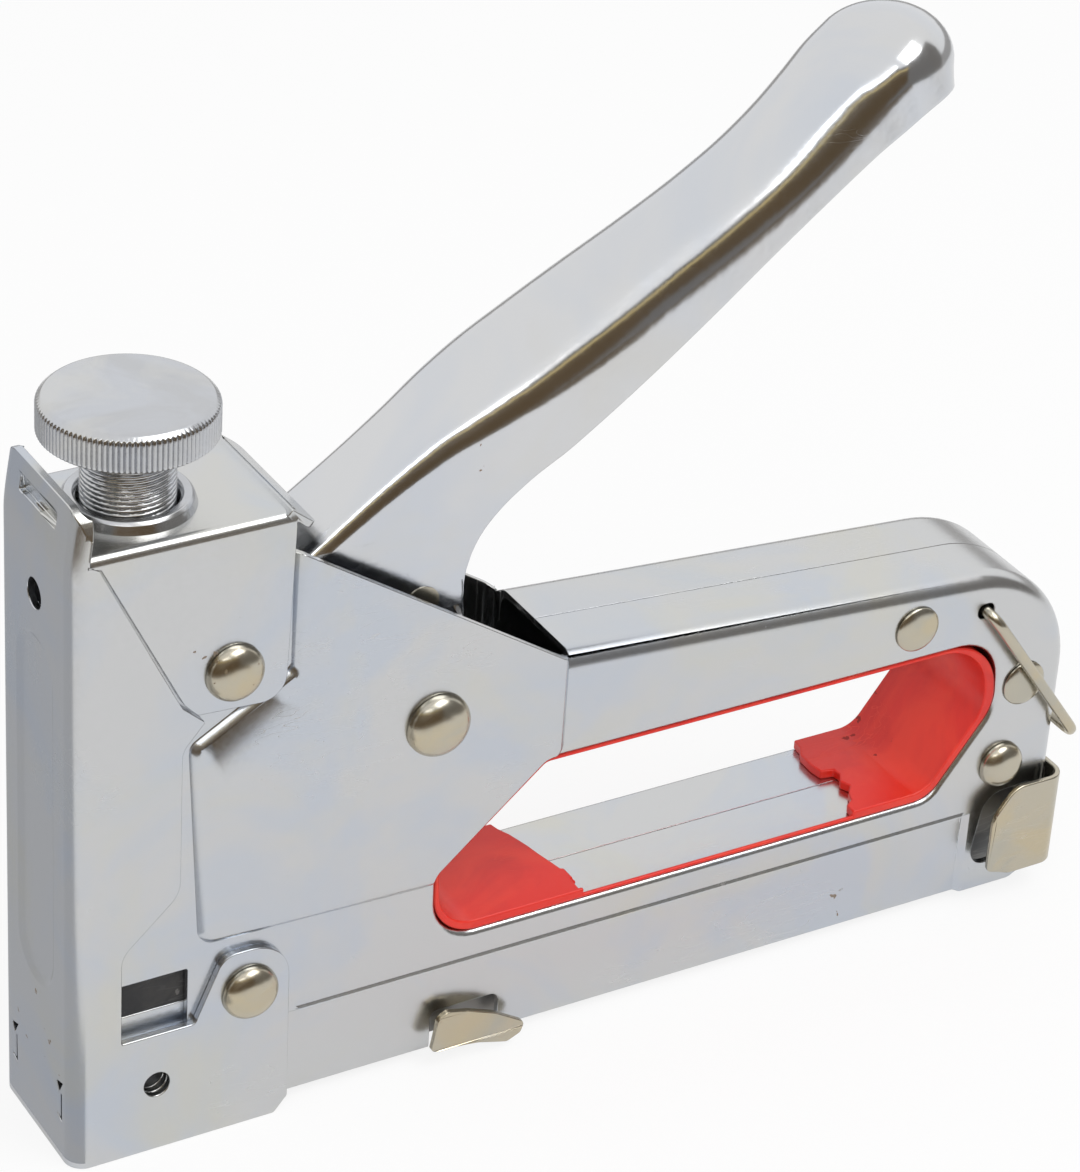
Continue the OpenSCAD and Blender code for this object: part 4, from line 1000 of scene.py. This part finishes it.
# what most finishes share: each look below only names what differs
plating = {"metal": 1.0, "tint": 0.7, "roughGrain": 0.08, "scuffRough": 0.15, "wave": 0.4, "fine": 0.2}
looks = {
    "zinc_sheet": {"color": (0.6, 0.605, 0.61), "cool": (0.53, 0.575, 0.65), "warm": (0.62, 0.61, 0.555),
        "patch": 34.0, "rough": 0.24, "roughGrain": 0.12, "fine": 0.16, "wave": 1.2, "scuff": 0.0022,
        "scuffSpread": 0.6, "scuffTone": (0.75, 0.75, 0.75), "scuffRough": 0.2, "speck": (0.26, 0.21, 0.165),
        "speckScale": 620.0, "speckSize": 0.36, "speckSpread": 0.685},
    "handle_chrome": {"color": (0.64, 0.645, 0.655), "cool": (0.55, 0.59, 0.66), "warm": (0.62, 0.61, 0.58),
        "tint": 0.6, "patch": 24.0, "rough": 0.165, "fine": 0.9, "wave": 1.7, "scuff": 0.0012,
        "scuffSpread": 0.64, "scuffTone": (0.5, 0.5, 0.5), "speck": (0.28, 0.2, 0.14), "speckScale": 620.0,
        "speckSize": 0.4, "speckSpread": 0.645},
    "knob_chrome": {"color": (0.52, 0.53, 0.55), "cool": (0.6, 0.63, 0.69), "warm": (0.68, 0.67, 0.63),
        "tint": 0.4, "patch": 60.0, "rough": 0.22, "scuff": 0.003, "scuffSpread": 0.58,
        "scuffTone": (0.55, 0.55, 0.55), "scuffRough": 0.12, "speck": (0.2, 0.15, 0.1), "speckScale": 420.0,
        "speckSize": 0.3, "speckSpread": 0.66},
    "nickel": {"color": (0.52, 0.48, 0.39), "cool": (0.46, 0.445, 0.385), "warm": (0.56, 0.48, 0.33),
        "patch": 90.0, "rough": 0.24, "wave": 0.5, "scuff": 0.002, "scuffSpread": 0.6,
        "scuffTone": (0.72, 0.68, 0.58), "speck": (0.2, 0.15, 0.09), "speckScale": 900.0, "speckSize": 0.32,
        "speckSpread": 0.66},
    "inner_steel": {"color": (0.3, 0.295, 0.29), "cool": (0.24, 0.25, 0.27), "warm": (0.3, 0.25, 0.19),
        "patch": 60.0, "rough": 0.36, "roughGrain": 0.12, "fine": 0.4, "scuff": 0.006, "scuffSpread": 0.48,
        "scuffTone": (0.5, 0.49, 0.47), "scuffRough": 0.1, "speck": (0.06, 0.035, 0.02), "speckScale": 300.0,
        "speckSize": 0.45, "speckSpread": 0.52},
    "spring_steel": {"color": (0.36, 0.35, 0.335), "cool": (0.27, 0.29, 0.33), "warm": (0.38, 0.32, 0.24),
        "patch": 120.0, "rough": 0.3, "roughGrain": 0.1, "wave": 0.0, "scuff": 0.005, "scuffSpread": 0.5,
        "scuffTone": (0.55, 0.54, 0.52), "scuffRough": 0.1, "speck": (0.1, 0.05, 0.03), "speckScale": 500.0,
        "speckSize": 0.4, "speckSpread": 0.55},
    "red_plastic": {"color": (0.74, 0.022, 0.011), "cool": (0.6, 0.014, 0.009), "warm": (0.8, 0.045, 0.017),
        "tint": 0.8, "patch": 55.0, "metal": 0.0, "rough": 0.36, "roughGrain": 0.12, "fine": 0.5, "wave": 0.8,
        "scuff": 0.006, "scuffSpread": 0.53, "scuffTone": (0.82, 0.1, 0.06), "scuffRough": 0.2,
        "speck": (0.3, 0.02, 0.012), "speckScale": 420.0, "speckSize": 0.3, "speckSpread": 0.6},
    "black_rubber": {"color": (0.016, 0.016, 0.017), "cool": (0.012, 0.012, 0.014),
        "warm": (0.03, 0.028, 0.026), "tint": 0.8, "patch": 120.0, "metal": 0.0, "rough": 0.5,
        "roughGrain": 0.2, "fine": 1.0, "scuff": 0.008, "scuffSpread": 0.48, "scuffTone": (0.09, 0.09, 0.09),
        "scuffRough": 0.2, "speck": (0.12, 0.115, 0.11), "speckScale": 500.0, "speckSize": 0.3,
        "speckSpread": 0.5},
}


def makeFinish(name, look):
    # tint under specks under scuffs for the colour; grain and scuffs also rough it up and lift the bump
    material = bpy.data.materials.new(name)
    material.use_nodes = True
    tree = material.node_tree
    shader = tree.nodes["Principled BSDF"]
    where = addNode(tree, "TexCoord").outputs["Object"]

    def effect(kind, **values):
        # a shared effect with this look's values; colours are given their alpha
        values = {key: value + (1,) if isinstance(value, tuple) else value for key, value in values.items()}
        return addNode(tree, "Group", {"Vector": where, **values}, node_tree=effects[kind]).outputs
    tint = effect("tint", Color=look["color"], Cool=look["cool"], Warm=look["warm"], Scale=look["patch"],
                  Amount=look["tint"])["Color"]
    grain = effect("grain", Fine=look["fine"], Wave=look["wave"])
    scuffs = effect("scuffs", Width=look["scuff"], Spread=look["scuffSpread"])["Mask"]
    specks = effect("specks", Scale=look["speckScale"], Size=look["speckSize"], Spread=look["speckSpread"])["Mask"]
    color = mixColor(tree, specks, tint, look["speck"] + (1,))
    color = mixColor(tree, mathNode(tree, "MULTIPLY", scuffs, 0.5), color, look["scuffTone"] + (1,))
    tree.links.new(color, shader.inputs["Base Color"])
    shader.inputs["Metallic"].default_value = look["metal"]
    if look["metal"] > 0:
        bare = mathNode(tree, "SUBTRACT", 1.0, mathNode(tree, "MULTIPLY", specks, 0.7))
        tree.links.new(bare, shader.inputs["Metallic"])
    rough = look["rough"] - look["roughGrain"] / 2
    for cause, amount in ((grain["Grain"], look["roughGrain"]), (scuffs, look["scuffRough"]), (specks, 0.3)):
        rough = mathNode(tree, "ADD", rough, mathNode(tree, "MULTIPLY", cause, amount))
    tree.links.new(rough, shader.inputs["Roughness"])
    height = mathNode(tree, "SUBTRACT", grain["Height"], mathNode(tree, "MULTIPLY", scuffs, 0.12))
    bump = addNode(tree, "Bump", {"Strength": 0.35, "Distance": 0.00006, "Height": height})
    tree.links.new(bump.outputs[0], shader.inputs["Normal"])
    return material


finishes = {name: makeFinish(name, {**plating, **look}) for name, look in looks.items()}
plainer = {"nose_guide_fine": "zinc_sheet", "threadedBush": "knob_chrome"}
for piece in finished:
    piece.data.materials.clear()
    piece.data.materials.append(finishes[plainer.get(piece.name, piece["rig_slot"])])
print("finishes made:", len(finishes))


# stage, light and camera
studio = {
    "floor": (0.92, 0.92, 0.92, 1), "reach": 3.0, "world": 0.6, "seenGlow": 0.85, "mirroredGlow": 0.3,
    "target": (0, 0, 0.06),
    # soft boxes: [place, size, power]
    "keyBox": ((0.42, -0.62, 1.3), (0.9, 0.8), 8.0),
    "cameraBox": ((-0.75, -1.0, 1.0), (0.8, 0.6), 5.0),
    "paintedBandRadius": 0.75,
    # painted reflections of the room beyond the table, glowing bands that only reflections show: [from height, to
    # height, from angle, to angle, colour]
    "room": {"roomNear": [0.0, 0.55, -175, -75, (0.13, 0.09, 0.05, 1)],
             "roomSide": [0.0, 0.84, -75, -8, (0.21, 0.20, 0.19, 1)],
             "roomLine": [0.55, 0.63, -175, -75, (0.80, 0.62, 0.26, 1)],
             "roomDark": [0.63, 0.74, -175, -75, (0.05, 0.05, 0.05, 1)],
             "roomFar": [0.0, 0.2, -8, 185, (0.42, 0.41, 0.40, 1)]},
    # two sheets just above the floor that only reflections show: a grey one ahead of the nose, a painted shadow that
    # the front face reflects, and a brown band on the near side, a painted dark reflection in the bends
    "cardLift": 0.001,
    "paintedShadowCard": [(-0.62, -0.04), (-0.0905, -0.04), (-0.02, 0.55), (-0.62, 0.55)],
    "paintedShadowTone": (0.5, 0.51, 0.53, 1),
    "paintedFloorBand": (0.32, -175, -60), "paintedFloorTone": (0.16, 0.125, 0.09, 1),
}


def faceAxes(side, up, away, where):
    # a placing with its three axes and its origin given
    return Matrix([[side[i], up[i], away[i], where[i]] for i in range(3)] + [[0, 0, 0, 1]])


def addLamp(name, where, target, size, power):
    # a square soft box that faces its target
    lamp = bpy.data.lights.new(name, "AREA")
    lamp.shape = "RECTANGLE"
    lamp.size, lamp.size_y = size
    lamp.energy = power
    box = newObject(name, lamp)
    away = np.array(where, float) - np.array(target, float)
    away /= np.linalg.norm(away)
    side = np.cross((0, 0, 1), away)
    side /= np.linalg.norm(side)
    box.matrix_world = faceAxes(side, np.cross(away, side), away, where)


def addCard(name, verts, faces, color):
    # a card that glows evenly in one colour and that only reflections show: it paints a reflection into the metal
    card = meshObject(name, verts, faces)
    material = bpy.data.materials.new(name)
    material.use_nodes = True
    tree = material.node_tree
    tree.nodes.remove(tree.nodes["Principled BSDF"])
    glow = addNode(tree, "Emission", {"Color": color, "Strength": 1.0})
    tree.links.new(glow.outputs[0], tree.nodes["Material Output"].inputs["Surface"])
    card.data.materials.append(material)
    for kind in ("camera", "diffuse", "shadow", "transmission"):
        setattr(card, "visible_" + kind, False)


def addBand(name, edges, a0, a1, color, count=48):
    # a painted reflection: a glowing band round the object between two angles, from one edge [radius, height] to the
    # other
    a = np.radians(np.linspace(a0, a1, count))
    ring = np.stack([np.cos(a), np.sin(a)], 1)
    verts = np.concatenate([topRing(ring * radius, z) for radius, z in edges])
    addCard(name, verts, gridQuads(2, count, closed=False).tolist(), color)


low = cadBox[0]
reach = studio["reach"]
floor = meshObject("floor", topRing(np.array([(-reach, -reach), (reach, -reach), (reach, reach), (-reach, reach)]),
                                    low[2]), [(0, 1, 2, 3)])
floorMaterial = bpy.data.materials.new("paleFloor")
floorMaterial.use_nodes = True
tree = floorMaterial.node_tree
floorShader = tree.nodes["Principled BSDF"]
for key, value in (("Base Color", studio["floor"]), ("Roughness", 0.9), ("Specular IOR Level", 0.0)):
    floorShader.inputs[key].default_value = value


def seenShare(tree, seen, mirrored):
    # one share for rays from the camera, another for rays from a reflection or through glass
    rays = addNode(tree, "LightPath")
    other = mathNode(tree, "MAXIMUM", rays.outputs["Is Glossy Ray"], rays.outputs["Is Transmission Ray"])
    return mathNode(tree, "MAXIMUM", mathNode(tree, "MULTIPLY", rays.outputs["Is Camera Ray"], seen),
                    mathNode(tree, "MULTIPLY", other, mirrored))


white = addNode(tree, "Emission", {"Color": (1, 1, 1, 1), "Strength": 1.0})
blend = addNode(tree, "MixShader", {0: seenShare(tree, studio["seenGlow"], studio["mirroredGlow"]),
                                              1: floorShader.outputs[0], 2: white.outputs[0]})
tree.links.new(blend.outputs[0], tree.nodes["Material Output"].inputs["Surface"])
floor.data.materials.append(floorMaterial)

world = bpy.data.worlds.new("studio")
bpy.context.scene.world = world
world.use_nodes = True
tree = world.node_tree
soft = tree.nodes["Background"]
soft.inputs["Color"].default_value = (1, 1, 1, 1)
soft.inputs["Strength"].default_value = studio["world"]
white = addNode(tree, "Background", {"Color": (1, 1, 1, 1), "Strength": 1.0})
blend = addNode(tree, "MixShader", {0: seenShare(tree, 1.0, 1.0), 1: soft.outputs[0], 2: white.outputs[0]})
tree.links.new(blend.outputs[0], tree.nodes["World Output"].inputs["Surface"])
for name in ("keyBox", "cameraBox"):
    spot, size, power = studio[name]
    addLamp(name, spot, studio["target"], size, power)

# painted reflections: glowing bands near the horizon, dark like a room beyond a white table, that only reflections
# show; they paint the bends' dark lines and the gold line along the handle's bend
for name, (z0, z1, a0, a1, color) in studio["room"].items():
    addBand(name, [(studio["paintedBandRadius"], z0), (studio["paintedBandRadius"], z1)], a0, a1, color)
cardLevel = low[2] + studio["cardLift"]
# painted shadow: a grey card ahead of the nose, seen only in the front face's reflection
addCard("paintedShadowCard", topRing(np.array(studio["paintedShadowCard"]), cardLevel), [(0, 1, 2, 3)], studio["paintedShadowTone"])
# painted dark reflection: a brown band on the floor's near side, seen only in the bends
radius, a0, a1 = studio["paintedFloorBand"]
addBand("paintedFloorBand", [(radius, cardLevel), (studio["paintedBandRadius"], cardLevel)], a0, a1, studio["paintedFloorTone"], 30)

# the camera stands 0.6 m away and looks down at the nose and the near side
view = {
    "right": (0.865548, -0.497549, 0.057197), "up": (0.213133, 0.469284, 0.856941),
    "back": (-0.453211, -0.729533, 0.512232), "where": (-198.977, -452.417, 391.435), "lens": 127.41, "sensor": 36,
}
cameraData = bpy.data.cameras.new("camera")
cameraData.sensor_width = view["sensor"]
cameraData.lens = view["lens"]
cameraData.clip_start = 0.01
cameraData.clip_end = 20
camera = newObject("camera", cameraData)
x, y, z = view["where"]
camera.matrix_world = faceAxes(view["right"], view["up"], view["back"], ((x - noseShift) * mm, y * mm, z * mm))
bpy.context.scene.camera = camera
bpy.context.scene.view_settings.view_transform = "Standard"
